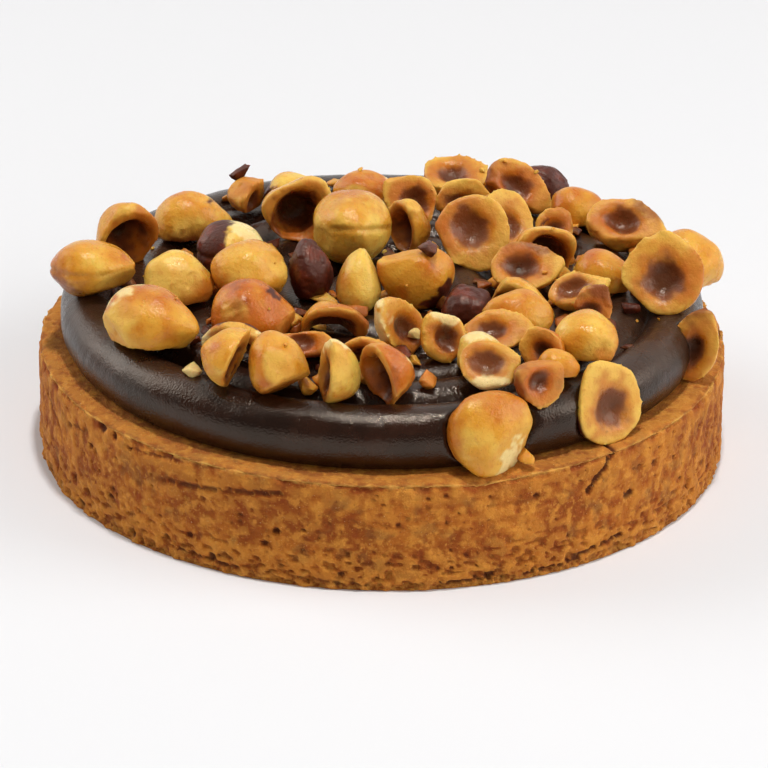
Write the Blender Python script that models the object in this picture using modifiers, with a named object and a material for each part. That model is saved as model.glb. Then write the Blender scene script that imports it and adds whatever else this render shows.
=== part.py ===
"""Chocolate tart: a shortcrust ring filled with piped ganache and topped with roasted hazelnut pieces.

The origin is the middle of the flat underside, +Z is up and -Y is the front.
Every piece of nut is dropped onto what already lies below it, with a hairline gap between the two.
"""
import math
from collections import namedtuple

import bmesh
import bpy
from mathutils import Matrix, Vector, noise
from mathutils.bvhtree import BVHTree

MM = 0.001
GAP = 0.3 * MM                      # clearance between neighbouring pieces

# Shortcrust shell
SHELL_RADIUS = 60 * MM
SHELL_HEIGHT = 20 * MM
RIM_WIDTH = 6.2 * MM
EDGE_ROUND = 0.8 * MM
RECESS_DEPTH = 3.4 * MM
SHELL_STEPS = 54
SHELL_UNEVEN = 0.25 * MM
NOTCH_ANGLE = math.radians(-73)     # worn place in the rim at the front
NOTCH_SPREAD = math.radians(8)
NOTCH_DEPTH = 0.7 * MM

# Ganache: a rope piped in rings that step inwards along one arc at the back
GANACHE_TOP = 30 * MM
BACK_DROP = 1.6 * MM                # the back of the filling is a little lower
ROPE_RADIUS = 5.0 * MM
ROPE_PITCH = 8.9 * MM
OUTER_ROPE = 50.9 * MM              # radius of the outer ring's centre line
ROPE_RINGS = 6
GANACHE_STEPS = 44
RING_STEP = 2.7 * MM
STEP_START = math.radians(30)
STEP_END = math.radians(150)
PRESSED = (-45, -71.2, -18.3)       # where in the outer rope a leaning nut is pressed in, degrees
PRESS_DEPTH = 6.4 * MM
PRESS_SPREAD = 10.5                 # degrees
GANACHE_UNEVEN = 0.35 * MM

# Nut forms: hollow width and depth as fractions, and the meridians and rings of the rough ball
MERIDIANS = 9
RINGS = 7
LUMPS = 0.05
ROUNDED_SHARE = 0.5                 # a dome keeps this share of the other half, so it rounds under
HOLLOWS = {
    "kernel": None,
    "dome": None,
    "skin": None,
    "half": (0.60, 0.45),
    "wedge": (0.55, 0.40),
    "bowl": (0.72, 0.75),
    "arch": (0.62, 0.60),
}
SLIDES = (1.2 * MM, 2.2 * MM)       # how far a nut may slip sideways to lie lower
DROP_FROM = 62 * MM
DROP_STEP = 0.8 * MM
DROP_FINE = 0.05 * MM

# One piece of hazelnut.  place is (x, y) in mm.  size is length, width and half thickness in mm.
# look is the azimuth and elevation in degrees of the split face: azimuth 0 looks to the front and
# 90 to the right, elevation -90 lays the face down.  spin is the clock angle of the pointed tip,
# seen by someone facing the split face.  Each cut is a clock angle, a lean and an offset (as a
# fraction of the length) of a plane that breaks a bit off.
Nut = namedtuple("Nut", "name place size look spin cuts")


def nut(name, place, size, look, spin, *cuts):
    return Nut(name, place, size, look, spin, cuts)


NUTS = [
    # pressed into the outer rope and standing on the rim
    nut("half_55", (38.3, -40.3), (15, 13.5, 4.6), (40, 14), -25),
    nut("kernel_56", (18, -52.2), (15, 14.5, 4.1), (20, 18), 60, (140, 20, 0.25)),
    nut("half_57", (54.4, -17.8), (14, 8.4, 4.2), (-15, 12), 10),
    # left
    nut("kernel_01", (-50, -6), (14.5, 11.5, 4.7), (0, -80), 95),
    nut("bowl_02", (-42.5, 8), (13.5, 11, 7), (25, -15), 0),
    nut("dome_03", (-33.5, 18.5), (13.5, 10.5, 5.4), (0, -75), 100),
    nut("dome_04", (-35, -8.5), (12.2, 10.8, 5.6), (0, -80), 65),
    nut("kernel_05", (-25, 3.5), (12.5, 11, 5), (0, -80), 80),
    nut("dome_06", (-39, -27), (16, 14, 6.2), (0, -80), 60, (-60, 20, 0.38)),
    nut("dome_07", (-22, -21), (14, 13, 6), (0, -85), 90),
    nut("dome_08", (-23, -8), (14, 11.5, 5.6), (0, -60), -50),
    # front left
    nut("half_09", (-26, -43), (11.5, 8.5, 6), (70, -15), 50),
    nut("dome_10", (-17, -45), (10.5, 9.5, 6), (40, -50), 180, (100, 0, 0.38)),
    nut("arch_11", (-24, -33), (13.5, 11, 7), (-15, -5), 80, (190, 0, 0.10)),
    nut("wedge_12", (-13.5, -32.5), (12, 8.5, 5), (10, 30), 95, (0, 0, 0.14), (180, 0, 0.20)),
    nut("half_13", (-7, -47), (12.5, 8.5, 5.8), (-75, 5), 15),
    nut("arch_14", (-8, -21), (12.5, 10.5, 6.5), (5, -5), 90, (180, 0, 0.06)),
    nut("arch_15", (-3.5, -34.5), (11.3, 9, 5.6), (-10, 10), 76, (186, 0, 0.09)),
    nut("half_16", (3, -27.5), (13, 8.5, 5.2), (50, 15), -40, (140, 10, 0.42)),
    nut("bowl_17", (1.5, -47), (11.5, 10.5, 6.5), (-55, -10), 10),
    # middle
    nut("kernel_18", (-5.5, 10.5), (14.2, 13.6, 6.2), (0, -70), 10),
    nut("skin_19", (-12.4, -6.5), (11, 7.4, 3.8), (175, -20), 10),
    nut("dome_20", (-4.8, -8), (11.5, 7.4, 4), (180, -25), 0),
    nut("dome_21", (4.5, -6.5), (13.5, 11, 4.6), (190, -10), 60, (10, 0, 0.30)),
    nut("skin_22", (14, -13.5), (10, 8.5, 3.8), (0, -80), 60),
    nut("bowl_23", (-15, 21), (13, 12, 6.5), (10, 5), 40),
    nut("bowl_24", (5.5, 14.5), (11, 9.5, 5.2), (-60, 0), 20),
    nut("half_25", (22, 21.5), (12, 10.5, 5), (25, 45), 20),
    nut("half_26", (15.5, 12), (14, 13.2, 5.6), (5, 32), 155),
    # back
    nut("dome_27", (-15.5, 34), (12, 10, 4.4), (0, -85), 90),
    nut("wedge_28", (-22.5, 31.5), (9, 8, 5), (60, -10), 20, (180, 0, 0.3)),
    nut("dome_29", (-5, 34), (12.5, 9.5, 4.4), (0, -70), 90, (80, 20, 0.32)),
    nut("half_30", (4.5, 29), (11, 9, 5), (10, 30), -60),
    nut("half_31", (13, 43), (12, 10.5, 5), (0, 75), 90),
    nut("wedge_32", (13.5, 34), (12, 9, 5), (0, 20), 80, (180, 0, 0.12)),
    nut("wedge_33", (23, 33.5), (14, 9.5, 5), (20, 35), 130, (220, 0, 0.15)),
    nut("skin_34", (28, 42), (10, 8, 3.6), (0, -80), 100),
    nut("half_35", (29.5, 23), (8, 7, 4), (0, 40), 30),
    nut("dome_36", (32.5, 31), (10, 8, 4.2), (0, -85), 90),
    nut("wedge_37", (40.5, 19.5), (14.5, 10, 6.5), (0, 50), 100, (180, 10, 0.22)),
    # right
    nut("dome_38", (38, -1.5), (11, 8, 4.6), (0, -80), 60),
    nut("bowl_39", (29.5, 6.5), (11.5, 10, 6), (15, 0), -50),
    nut("dome_40", (53.0, 2.5), (12, 11.5, 5.6), (0, -85), 0),
    nut("half_41", (48, -8), (14.5, 14, 5.8), (-5, 30), 0),
    nut("half_42", (25, -1.5), (12.5, 9.5, 4.6), (0, 48), 80),
    nut("arch_43", (22.5, -11.5), (13, 11, 6.5), (-20, -10), 100, (180, 0, 0.10)),
    nut("half_44", (31.5, -10), (11, 6.8, 4.4), (-20, 55), 65),
    nut("wedge_45", (36.5, -15), (9.5, 7.5, 3.6), (10, 25), 40, (220, 0, 0.15)),
    # front right
    nut("dome_46", (23, -21), (12, 8.5, 3.2), (190, -40), 80),
    nut("half_47", (20.3, -26.5), (12, 8, 4.2), (0, 50), 85),
    nut("half_48", (11.5, -30.5), (9.5, 8, 5), (25, 20), -30),
    nut("dome_49", (34.3, -29.8), (11.5, 10, 5), (0, -80), 40),
    nut("dome_50", (18, -34.5), (8.5, 8, 3.8), (0, -30), 90),
    nut("half_51", (18, -42), (11.5, 9, 4.6), (-10, 48), 100, (100, 0, 0.38)),
    nut("half_52", (28, -34.5), (8.5, 7.6, 4.2), (-15, 15), -40),
    nut("dome_53", (30.5, -38), (7.5, 6, 3), (0, -75), 80),
    nut("wedge_54", (25, -44), (10, 9, 5), (25, 15), 60, (0, 10, 0.20)),
]

CRUST_COLOUR = (0.50, 0.24, 0.07)
GANACHE_COLOUR = (0.035, 0.012, 0.007)
NUT_COLOURS = {
    "kernel": (0.68, 0.40, 0.12),
    "dome": (0.66, 0.37, 0.10),
    "half": (0.60, 0.31, 0.09),
    "wedge": (0.55, 0.26, 0.07),
    "bowl": (0.56, 0.28, 0.08),
    "arch": (0.52, 0.24, 0.06),
    "skin": (0.09, 0.02, 0.012),
}


def clear_scene():
    for obj in list(bpy.data.objects):
        bpy.data.objects.remove(obj, do_unlink=True)


def make_material(name, colour, roughness):
    material = bpy.data.materials.new(name)
    material.use_nodes = True
    shader = material.node_tree.nodes["Principled BSDF"]
    shader.inputs["Base Color"].default_value = (*colour, 1)
    shader.inputs["Roughness"].default_value = roughness
    shader.inputs["Metallic"].default_value = 0
    return material


def add_part(name, mesh, collection, material):
    mesh.name = name
    mesh.materials.clear()
    mesh.materials.append(material)
    mesh.shade_smooth()
    mesh.set_sharp_from_angle(angle=math.radians(40))
    part = bpy.data.objects.new(name, mesh)
    collection.objects.link(part)
    return part


def smooth_step(value, low, high):
    ratio = min(max((value - low) / (high - low), 0), 1)
    return ratio * ratio * (3 - 2 * ratio)


def turned_mesh(profile, steps):
    """The mesh of a profile of (radius, height) pairs turned about Z by a Screw modifier."""
    outline = bpy.data.meshes.new("profile")
    points = [(radius, 0, height) for radius, height in profile]
    outline.from_pydata(points, [(i, i + 1) for i in range(len(points) - 1)], [])
    turned = bpy.data.objects.new("profile", outline)
    bpy.context.scene.collection.objects.link(turned)
    screw = turned.modifiers.new("Turn", "SCREW")
    screw.axis = "Z"
    screw.steps = steps
    screw.render_steps = steps
    screw.use_merge_vertices = True
    screw.merge_threshold = 0.01 * MM
    graph = bpy.context.evaluated_depsgraph_get()
    mesh = bpy.data.meshes.new_from_object(turned.evaluated_get(graph))
    bpy.data.objects.remove(turned, do_unlink=True)
    return mesh


def shell_profile():
    inner = SHELL_RADIUS - RIM_WIDTH
    floor = SHELL_HEIGHT - RECESS_DEPTH
    return [
        (0, floor),
        (inner, floor),
        (inner, SHELL_HEIGHT - EDGE_ROUND / 2),
        (inner + EDGE_ROUND / 2, SHELL_HEIGHT),
        (SHELL_RADIUS - EDGE_ROUND, SHELL_HEIGHT),
        (SHELL_RADIUS, SHELL_HEIGHT - EDGE_ROUND),
        (SHELL_RADIUS, EDGE_ROUND),
        (SHELL_RADIUS - EDGE_ROUND, 0),
        (0, 0),
    ]


def make_shell(collection):
    """The baked shell: straight pressed wall, flat rim with a worn notch, shallow recess."""
    mesh = turned_mesh(shell_profile(), SHELL_STEPS)
    inner = SHELL_RADIUS - RIM_WIDTH
    for vertex in mesh.vertices:
        spot = vertex.co
        radius = math.hypot(spot.x, spot.y)
        if radius < inner - GAP or spot.z < EDGE_ROUND / 2:
            continue
        angle = math.atan2(spot.y, spot.x)
        wave = noise.noise(Vector((3 * math.cos(angle), 3 * math.sin(angle), spot.z / (12 * MM))))
        if radius > inner + RIM_WIDTH / 2:
            shrink = 1 - SHELL_UNEVEN * abs(wave) / radius
            spot.x *= shrink
            spot.y *= shrink
        if spot.z > SHELL_HEIGHT - RECESS_DEPTH / 2:
            worn = math.exp(-((angle - NOTCH_ANGLE) / NOTCH_SPREAD) ** 2)
            spot.z -= SHELL_UNEVEN * abs(wave) + NOTCH_DEPTH * worn
    material = make_material("crust", CRUST_COLOUR, 0.8)
    return add_part("shortcrust_shell", mesh, collection, material)


def rope_height(radius, angle):
    """Height of the piped surface: the highest rope that passes over this place."""
    step = smooth_step(angle % (2 * math.pi), STEP_START, STEP_END)
    lines = [OUTER_ROPE]
    for ring in range(ROPE_RINGS):
        lines.append(OUTER_ROPE - ROPE_PITCH * (ring + step))
    nearest = min(abs(radius - line) for line in lines if line > 0)
    nearest = min(nearest, 0.9 * ROPE_RADIUS)
    arch = math.sqrt(ROPE_RADIUS ** 2 - nearest ** 2)
    spot = Vector((radius * math.cos(angle), radius * math.sin(angle), 0))
    uneven = GANACHE_UNEVEN * noise.noise(spot / (14 * MM))
    back = BACK_DROP * smooth_step(spot.y, 0, OUTER_ROPE)
    return GANACHE_TOP - ROPE_RADIUS + arch + uneven - back


def press_in(angle):
    """How far the leaning nuts push the outer rope inwards at this angle."""
    depth = 0
    for place in PRESSED:
        depth += math.exp(-((math.degrees(angle) - place) / PRESS_SPREAD) ** 4)
    return PRESS_DEPTH * min(depth, 1)


def ganache_profile():
    """Half of the filling's section: rope rings over a flat bottom that sits in the recess."""
    bottom = SHELL_HEIGHT - RECESS_DEPTH + GAP
    rings = round(OUTER_ROPE / RING_STEP)
    profile = [(0, GANACHE_TOP)]
    for ring in range(1, rings + 1):
        profile.append((OUTER_ROPE * ring / rings, GANACHE_TOP))
    middle = GANACHE_TOP - ROPE_RADIUS
    for degrees in (66, 42, 16, -12):
        turn = math.radians(degrees)
        profile.append((OUTER_ROPE + ROPE_RADIUS * math.cos(turn), middle + ROPE_RADIUS * math.sin(turn)))
    foot = SHELL_RADIUS - RIM_WIDTH - 1.5 * GAP
    profile.append((foot, SHELL_HEIGHT + GAP))
    profile.append((foot, bottom))
    profile.append((0, bottom))
    return profile


def make_ganache(collection):
    """The filling: a turned body whose top is lifted to the piped rope's rings."""
    mesh = turned_mesh(ganache_profile(), GANACHE_STEPS)
    for vertex in mesh.vertices:
        spot = vertex.co
        radius = math.hypot(spot.x, spot.y)
        angle = math.atan2(spot.y, spot.x)
        if spot.z > GANACHE_TOP - 0.01 * MM:
            spot.z = rope_height(radius, angle)
        elif spot.z > SHELL_HEIGHT + 2 * GAP:
            share = (spot.z - SHELL_HEIGHT) / (GANACHE_TOP - SHELL_HEIGHT)
            crown = rope_height(OUTER_ROPE, angle) - GANACHE_TOP
            spot.z += share * crown
        if radius > OUTER_ROPE - ROPE_RADIUS:
            share = smooth_step(radius, OUTER_ROPE - ROPE_RADIUS, OUTER_ROPE)
            spot.xy *= 1 - share * press_in(angle) / radius
    material = make_material("ganache", GANACHE_COLOUR, 0.25)
    return add_part("ganache", mesh, collection, material)


def shape_kernel(form, size, seed):
    """Turn a ball into a kernel: pointed tip at +X, blunt base, soft lumps."""
    length, width, thickness = (0.5 * size[0] * MM, 0.5 * size[1] * MM, size[2] * MM)
    for vertex in form.verts:
        spot = vertex.co
        lump = 1 + LUMPS * noise.noise(spot * 1.7 + Vector((seed * 3.1, seed * 1.7, 0)))
        taper = 1 - 0.13 * spot.x - 0.10 * spot.x ** 2
        along = spot.x * (1 + 0.08 * spot.x)
        spot.x = length * along * lump / 1.04
        spot.y *= width * taper * lump
        spot.z *= thickness * taper * lump


def split_kernel(form, height):
    """Keep the part of the kernel below this height and close it with one flat face."""
    everything = form.verts[:] + form.edges[:] + form.faces[:]
    bmesh.ops.bisect_plane(
        form, geom=everything, dist=0.05 * MM, plane_co=(0, 0, height), plane_no=(0, 0, 1), clear_outer=True
    )
    rim = [edge for edge in form.edges if edge.is_boundary]
    return bmesh.ops.contextual_create(form, geom=rim)["faces"][0]


def press_hollow(form, face, width, depth):
    """Sink the seed hollow into the split face: a rim, a slope and a dished floor."""
    middle = face.calc_center_median()
    for scale, sink in ((width, 0), (0.62, depth)):
        face = bmesh.ops.extrude_discrete_faces(form, faces=[face])["faces"][0]
        for vertex in face.verts:
            spot = vertex.co
            spot.xy = middle.xy + (spot.xy - middle.xy) * scale
            spot.z -= sink
    floor = bmesh.ops.poke(form, faces=[face])["verts"][0]
    floor.co.z -= 0.2 * depth


def break_off(form, cut, spin, length):
    """Break a bit off: everything beyond the cut's plane goes and the break is closed flat."""
    clock, lean, offset = cut
    turn = math.radians(clock - spin)
    tip_side = Vector((math.cos(turn), -math.sin(turn), 0))
    normal = tip_side * math.cos(math.radians(lean)) + Vector((0, 0, math.sin(math.radians(lean))))
    everything = form.verts[:] + form.edges[:] + form.faces[:]
    bmesh.ops.bisect_plane(
        form, geom=everything, dist=0.05 * MM, plane_co=normal * offset * length * MM, plane_no=normal,
        clear_outer=True,
    )
    rim = [edge for edge in form.edges if edge.is_boundary]
    bmesh.ops.contextual_create(form, geom=rim)


def nut_turn(look, spin):
    """The rotation that turns a split face to look that way, with its tip at the clock angle."""
    azimuth, elevation = math.radians(look[0]), math.radians(look[1])
    face = Vector((
        math.sin(azimuth) * math.cos(elevation),
        -math.cos(azimuth) * math.cos(elevation),
        math.sin(elevation),
    ))
    rise = Vector((
        -math.sin(azimuth) * math.sin(elevation),
        math.cos(azimuth) * math.sin(elevation),
        math.cos(elevation),
    ))
    side = Vector((math.cos(azimuth), math.sin(azimuth), 0))
    clock = math.radians(spin)
    tip = rise * math.cos(clock) + side * math.sin(clock)
    across = face.cross(tip)
    return Matrix((tip, across, face)).transposed()


def nut_mesh(piece, seed):
    """The mesh of one nut piece, turned the way it lies, about its own middle."""
    kind = piece.name.split("_")[0]
    form = bmesh.new()
    bmesh.ops.create_uvsphere(form, u_segments=MERIDIANS, v_segments=RINGS, radius=1)
    bmesh.ops.rotate(form, verts=form.verts[:], matrix=Matrix.Rotation(math.radians(90), 3, "Y"))
    shape_kernel(form, piece.size, seed)
    if kind != "kernel":
        thickness = piece.size[2] * MM
        face = split_kernel(form, 0 if HOLLOWS[kind] else ROUNDED_SHARE * thickness)
        if HOLLOWS[kind]:
            width, depth = HOLLOWS[kind]
            press_hollow(form, face, width, depth * thickness)
    for cut in piece.cuts:
        break_off(form, cut, piece.spin, piece.size[0])
    bmesh.ops.rotate(form, verts=form.verts[:], matrix=nut_turn(piece.look, piece.spin))
    low = [min(vertex.co[axis] for vertex in form.verts) for axis in range(3)]
    high = [max(vertex.co[axis] for vertex in form.verts) for axis in range(3)]
    middle = (Vector(low) + Vector(high)) / 2
    bmesh.ops.translate(form, verts=form.verts[:], vec=-middle)
    bmesh.ops.triangulate(form, faces=form.faces[:])
    bmesh.ops.recalc_face_normals(form, faces=form.faces[:])
    mesh = bpy.data.meshes.new(piece.name)
    form.to_mesh(mesh)
    form.free()
    return mesh


def tree_of(points, mesh):
    return BVHTree.FromPolygons(points, [tuple(face.vertices) for face in mesh.polygons])


def rest_height(mesh, padded, x, y, below):
    """The lowest height at which the padded piece clears everything below it, coming from above."""

    def touches(height):
        shift = Vector((x, y, height))
        tree = tree_of([spot + shift for spot in padded], mesh)
        return any(tree.overlap(other) for other in below)

    height = DROP_FROM
    while not touches(height - DROP_STEP):
        height -= DROP_STEP
    step = DROP_STEP / 2
    while step > DROP_FINE:
        if not touches(height - step):
            height -= step
        step /= 2
    return height


def near_pieces(placed, x, y, reach):
    """The trees of the pieces whose middle is close enough to be touched."""
    chosen = []
    for tree, centre, radius in placed:
        if centre is None or math.hypot(centre[0] - x, centre[1] - y) < reach + radius:
            chosen.append(tree)
    return chosen


def lay_nut(piece, mesh, placed):
    """Find where the piece comes to lie near its place, inside the shell, and note it as an obstacle."""
    reach = max(vertex.co.xy.length for vertex in mesh.vertices)
    padded = [vertex.co + vertex.normal * GAP for vertex in mesh.vertices]
    best = None
    slips = [(0, 0)]
    for slide in SLIDES:
        for turn in range(0, 360, 60):
            slips.append((slide * math.cos(math.radians(turn)), slide * math.sin(math.radians(turn))))
    for slip in slips:
        x = piece.place[0] * MM + slip[0]
        y = piece.place[1] * MM + slip[1]
        edge = max(math.hypot(vertex.co.x + x, vertex.co.y + y) for vertex in mesh.vertices)
        if edge > SHELL_RADIUS:
            continue
        below = near_pieces(placed, x, y, reach + SLIDES[-1])
        height = rest_height(mesh, padded, x, y, below)
        cost = height + 0.3 * math.hypot(*slip)
        if best is None or cost < best[0]:
            best = (cost, Vector((x, y, height)))
    spot = best[1]
    tree = tree_of([vertex.co + spot for vertex in mesh.vertices], mesh)
    placed.append((tree, (spot.x, spot.y), reach))
    return spot


def add_nuts(collection, shell, ganache):
    placed = []
    for base in (shell, ganache):
        points = [vertex.co.copy() for vertex in base.data.vertices]
        placed.append((tree_of(points, base.data), None, 0))
    materials = {
        kind: make_material("nut_" + kind, colour, 0.45) for kind, colour in NUT_COLOURS.items()
    }
    for number, piece in enumerate(NUTS, start=1):
        mesh = nut_mesh(piece, number)
        spot = lay_nut(piece, mesh, placed)
        part = add_part(piece.name, mesh, collection, materials[piece.name.split("_")[0]])
        part.location = spot


def main():
    clear_scene()
    collection = bpy.data.collections.new("chocolate_tart")
    bpy.context.scene.collection.children.link(collection)
    shell = make_shell(collection)
    ganache = make_ganache(collection)
    add_nuts(collection, shell, ganache)


main()
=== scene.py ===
# %% [markdown]
# # A chocolate tart with chopped hazelnuts
# The tart is a sandy shortcrust shell, a thick rope of ganache piped in rings, and a heap of roasted
# hazelnut pieces.  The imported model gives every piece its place.  This script gives each one its real
# surface: relief in the mesh, and colour, gloss and fine grain in the material.

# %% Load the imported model
import math
import random
from collections import namedtuple

import bmesh
import bpy
import numpy as np
from mathutils import Matrix, Vector, noise
from mathutils.bvhtree import BVHTree


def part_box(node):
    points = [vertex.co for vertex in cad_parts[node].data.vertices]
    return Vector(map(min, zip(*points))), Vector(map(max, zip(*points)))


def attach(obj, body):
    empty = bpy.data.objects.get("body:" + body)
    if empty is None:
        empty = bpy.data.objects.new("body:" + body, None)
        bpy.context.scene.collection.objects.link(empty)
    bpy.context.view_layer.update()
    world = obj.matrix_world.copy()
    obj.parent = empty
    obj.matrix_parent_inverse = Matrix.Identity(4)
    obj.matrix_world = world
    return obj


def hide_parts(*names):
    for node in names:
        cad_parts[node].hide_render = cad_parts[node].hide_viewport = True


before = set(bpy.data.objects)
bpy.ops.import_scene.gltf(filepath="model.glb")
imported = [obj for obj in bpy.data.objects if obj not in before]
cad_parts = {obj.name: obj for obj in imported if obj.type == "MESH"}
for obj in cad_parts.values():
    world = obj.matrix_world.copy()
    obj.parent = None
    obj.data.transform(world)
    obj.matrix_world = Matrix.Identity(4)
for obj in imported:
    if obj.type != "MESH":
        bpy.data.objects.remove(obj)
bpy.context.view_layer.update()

MM = 0.001
SHELL_LOW, SHELL_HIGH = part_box("shortcrust_shell")
SHELL_RADIUS = SHELL_HIGH.x / MM
SHELL_HEIGHT = 20.0
print("the tart is", round(2 * SHELL_RADIUS, 1), "mm across, with", len(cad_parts), "pieces")

# %% [markdown]
# ## Helpers for meshes
# Baked dough and broken nuts are rough at several sizes at once.  One noise helper that takes points
# in millimetres gives all of them, so that a bump of 2 mm is 2 mm wide on every piece.

# %% Noise, soft steps and a piece that rides on the tart
def rough(points, size, seed=0):
    """Smooth noise between about -1 and 1 whose bumps are this many millimetres wide."""
    places = (np.asarray(points) / size + 7.31 * seed).tolist()
    return np.array([noise.noise(place) for place in places])


def soft_step(value, low, high):
    ratio = np.clip((value - low) / (high - low), 0, 1)
    return ratio * ratio * (3 - 2 * ratio)


def add_masks(mesh, masks):
    """Write each mask as one number per vertex, for the material to read."""
    for name, values in masks.items():
        layer = mesh.attributes.new(name, "FLOAT", "POINT")
        layer.data.foreach_set("value", np.clip(values, 0, 1).astype(np.float32))


def add_piece(name, mesh, material, slot, nodes=()):
    piece = bpy.data.objects.new(name, mesh)
    bpy.context.scene.collection.objects.link(piece)
    mesh.materials.clear()
    mesh.materials.append(material)
    mesh.shade_smooth()
    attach(piece, "root")
    if nodes:
        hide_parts(*nodes)
    return piece


def grid_mesh(name, points):
    """A closed mesh from rows of points that run around the tart, with one point at each end."""
    rows, steps, _ = points.shape
    corners = [tuple(points[0, 0])]
    corners += [tuple(point) for point in points[1:-1].reshape(-1, 3)]
    corners.append(tuple(points[-1, 0]))
    faces = []
    last = len(corners) - 1
    for step in range(steps):
        after = (step + 1) % steps
        faces.append((0, 1 + after, 1 + step))
        end = 1 + (rows - 3) * steps
        faces.append((last, end + step, end + after))
        for row in range(rows - 3):
            here = 1 + row * steps
            faces.append((here + step, here + after, here + steps + after, here + steps + step))
    mesh = bpy.data.meshes.new(name)
    mesh.from_pydata(corners, [], faces)
    form = bmesh.new()
    form.from_mesh(mesh)
    bmesh.ops.recalc_face_normals(form, faces=form.faces[:])
    form.to_mesh(mesh)
    form.free()
    return mesh


def tree_of(mesh):
    """A search tree over a mesh's faces, for casting rays at it."""
    return BVHTree.FromPolygons(
        [vertex.co for vertex in mesh.vertices], [tuple(face.vertices) for face in mesh.polygons]
    )


def grid_mask(values):
    """One number per vertex of a grid mesh, from one number per grid point."""
    return np.concatenate(([values[0, 0]], values[1:-1].reshape(-1), [values[-1, 0]]))


# %% [markdown]
# ## Helpers for materials
# A material here is a small sum: a colour, pushed towards other colours by masks.  One class wraps a
# socket so that such a sum can be written in plain Python, and each sign adds its own Math node.

# %% A socket that takes part in Python sums
class Wire:
    def __init__(self, sheet, socket):
        self.sheet = sheet
        self.socket = socket

    def maths(self, operation, *values):
        return self.sheet.add("ShaderNodeMath", {"operation": operation}, *values)

    def __add__(self, other):
        return self.maths("ADD", self, other)

    def __sub__(self, other):
        return self.maths("SUBTRACT", self, other)

    def __rsub__(self, other):
        return self.maths("SUBTRACT", other, self)

    def __mul__(self, other):
        return self.maths("MULTIPLY", self, other)

    __radd__ = __add__
    __rmul__ = __mul__


class Sheet:
    """The node tree of one finish, or of the world."""

    def __init__(self, name, owner=None):
        self.owner = owner or bpy.data.materials.new(name)
        self.owner.use_nodes = True
        self.nodes = self.owner.node_tree.nodes
        self.links = self.owner.node_tree.links
        self.shader = self.nodes.get("Principled BSDF")

    def add(self, kind, settings, *values, out=0, **named):
        """Add a node: its settings first, then the values or wires of its sockets."""
        node = self.nodes.new(kind)
        for key, value in settings.items():
            setattr(node, key, value)
        pairs = list(enumerate(values)) + [(key.replace("_", " "), value) for key, value in named.items()]
        for key, value in pairs:
            self.join(node.inputs[key], value)
        return Wire(self, node.outputs[out])

    def join(self, socket, value):
        if isinstance(value, Wire):
            self.links.new(value.socket, socket)
        elif value is not None:
            socket.default_value = value

    def mask(self, name):
        return self.add("ShaderNodeAttribute", {"attribute_name": name}, out="Fac")

    def place(self):
        return self.add("ShaderNodeTexCoord", {}, out="Object")

    def grain(self, size, detail=3, shift=0):
        """Noise between 0 and 1 with bumps of this size in millimetres."""
        spot = self.add("ShaderNodeVectorMath", {"operation": "ADD"}, self.place(), (shift, shift / 3, 0))
        return self.add(
            "ShaderNodeTexNoise", {}, Vector=spot, Scale=1 / (size * MM), Detail=detail, Roughness=0.55
        )

    def between(self, value, low, high):
        settings = {"interpolation_type": "SMOOTHSTEP"}
        return self.add("ShaderNodeMapRange", settings, value, low, high, 0.0, 1.0)

    def blend(self, share, colour, other):
        node = self.nodes.new("ShaderNodeMix")
        node.data_type = "RGBA"
        self.join(node.inputs["Factor"], share)
        for socket, value in ((node.inputs[6], colour), (node.inputs[7], other)):
            self.join(socket, value if isinstance(value, Wire) else (*value, 1))
        return Wire(self, node.outputs[2])

    def bump(self, height, distance):
        """Fine relief, as high as this many millimetres."""
        return self.add("ShaderNodeBump", {}, Height=height, Distance=distance * MM, Strength=1.0)

    def finish(self, colour, roughness, normal=None, **numbers):
        self.join(self.shader.inputs["Base Color"], colour)
        self.join(self.shader.inputs["Roughness"], roughness)
        if normal:
            self.join(self.shader.inputs["Normal"], normal)
        for key, value in numbers.items():
            self.shader.inputs[key.replace("_", " ")].default_value = value
        return self.owner


def tint(red, green, blue):
    """A colour as a screen shows it, from 0 to 255, turned into the linear one a shader needs."""
    shares = [value / 255 for value in (red, green, blue)]
    return tuple(c / 12.92 if c <= 0.04045 else ((c + 0.055) / 1.055) ** 2.4 for c in shares)


# %% [markdown]
# ## The shortcrust shell
# A tart ring is lined with dough, pressed flat against the metal and baked.  The wall is therefore
# straight, with small holes and cracks where the crumb shows, a fold where two bits of dough met, and
# a rim that was cut with a knife.  A fine grid turned about the axis holds that relief.  Every dent
# goes inwards by at least LEAST_RELIEF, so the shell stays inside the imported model's size.

# %% Shell sizes
RIM_WIDTH = 7.4
RECESS_FLOOR = 16.6
SHELL_STEPS = 900
GRID_SIZE = 0.42
EDGE_RADIUS = 0.8
rng = np.random.default_rng(7)


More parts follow.
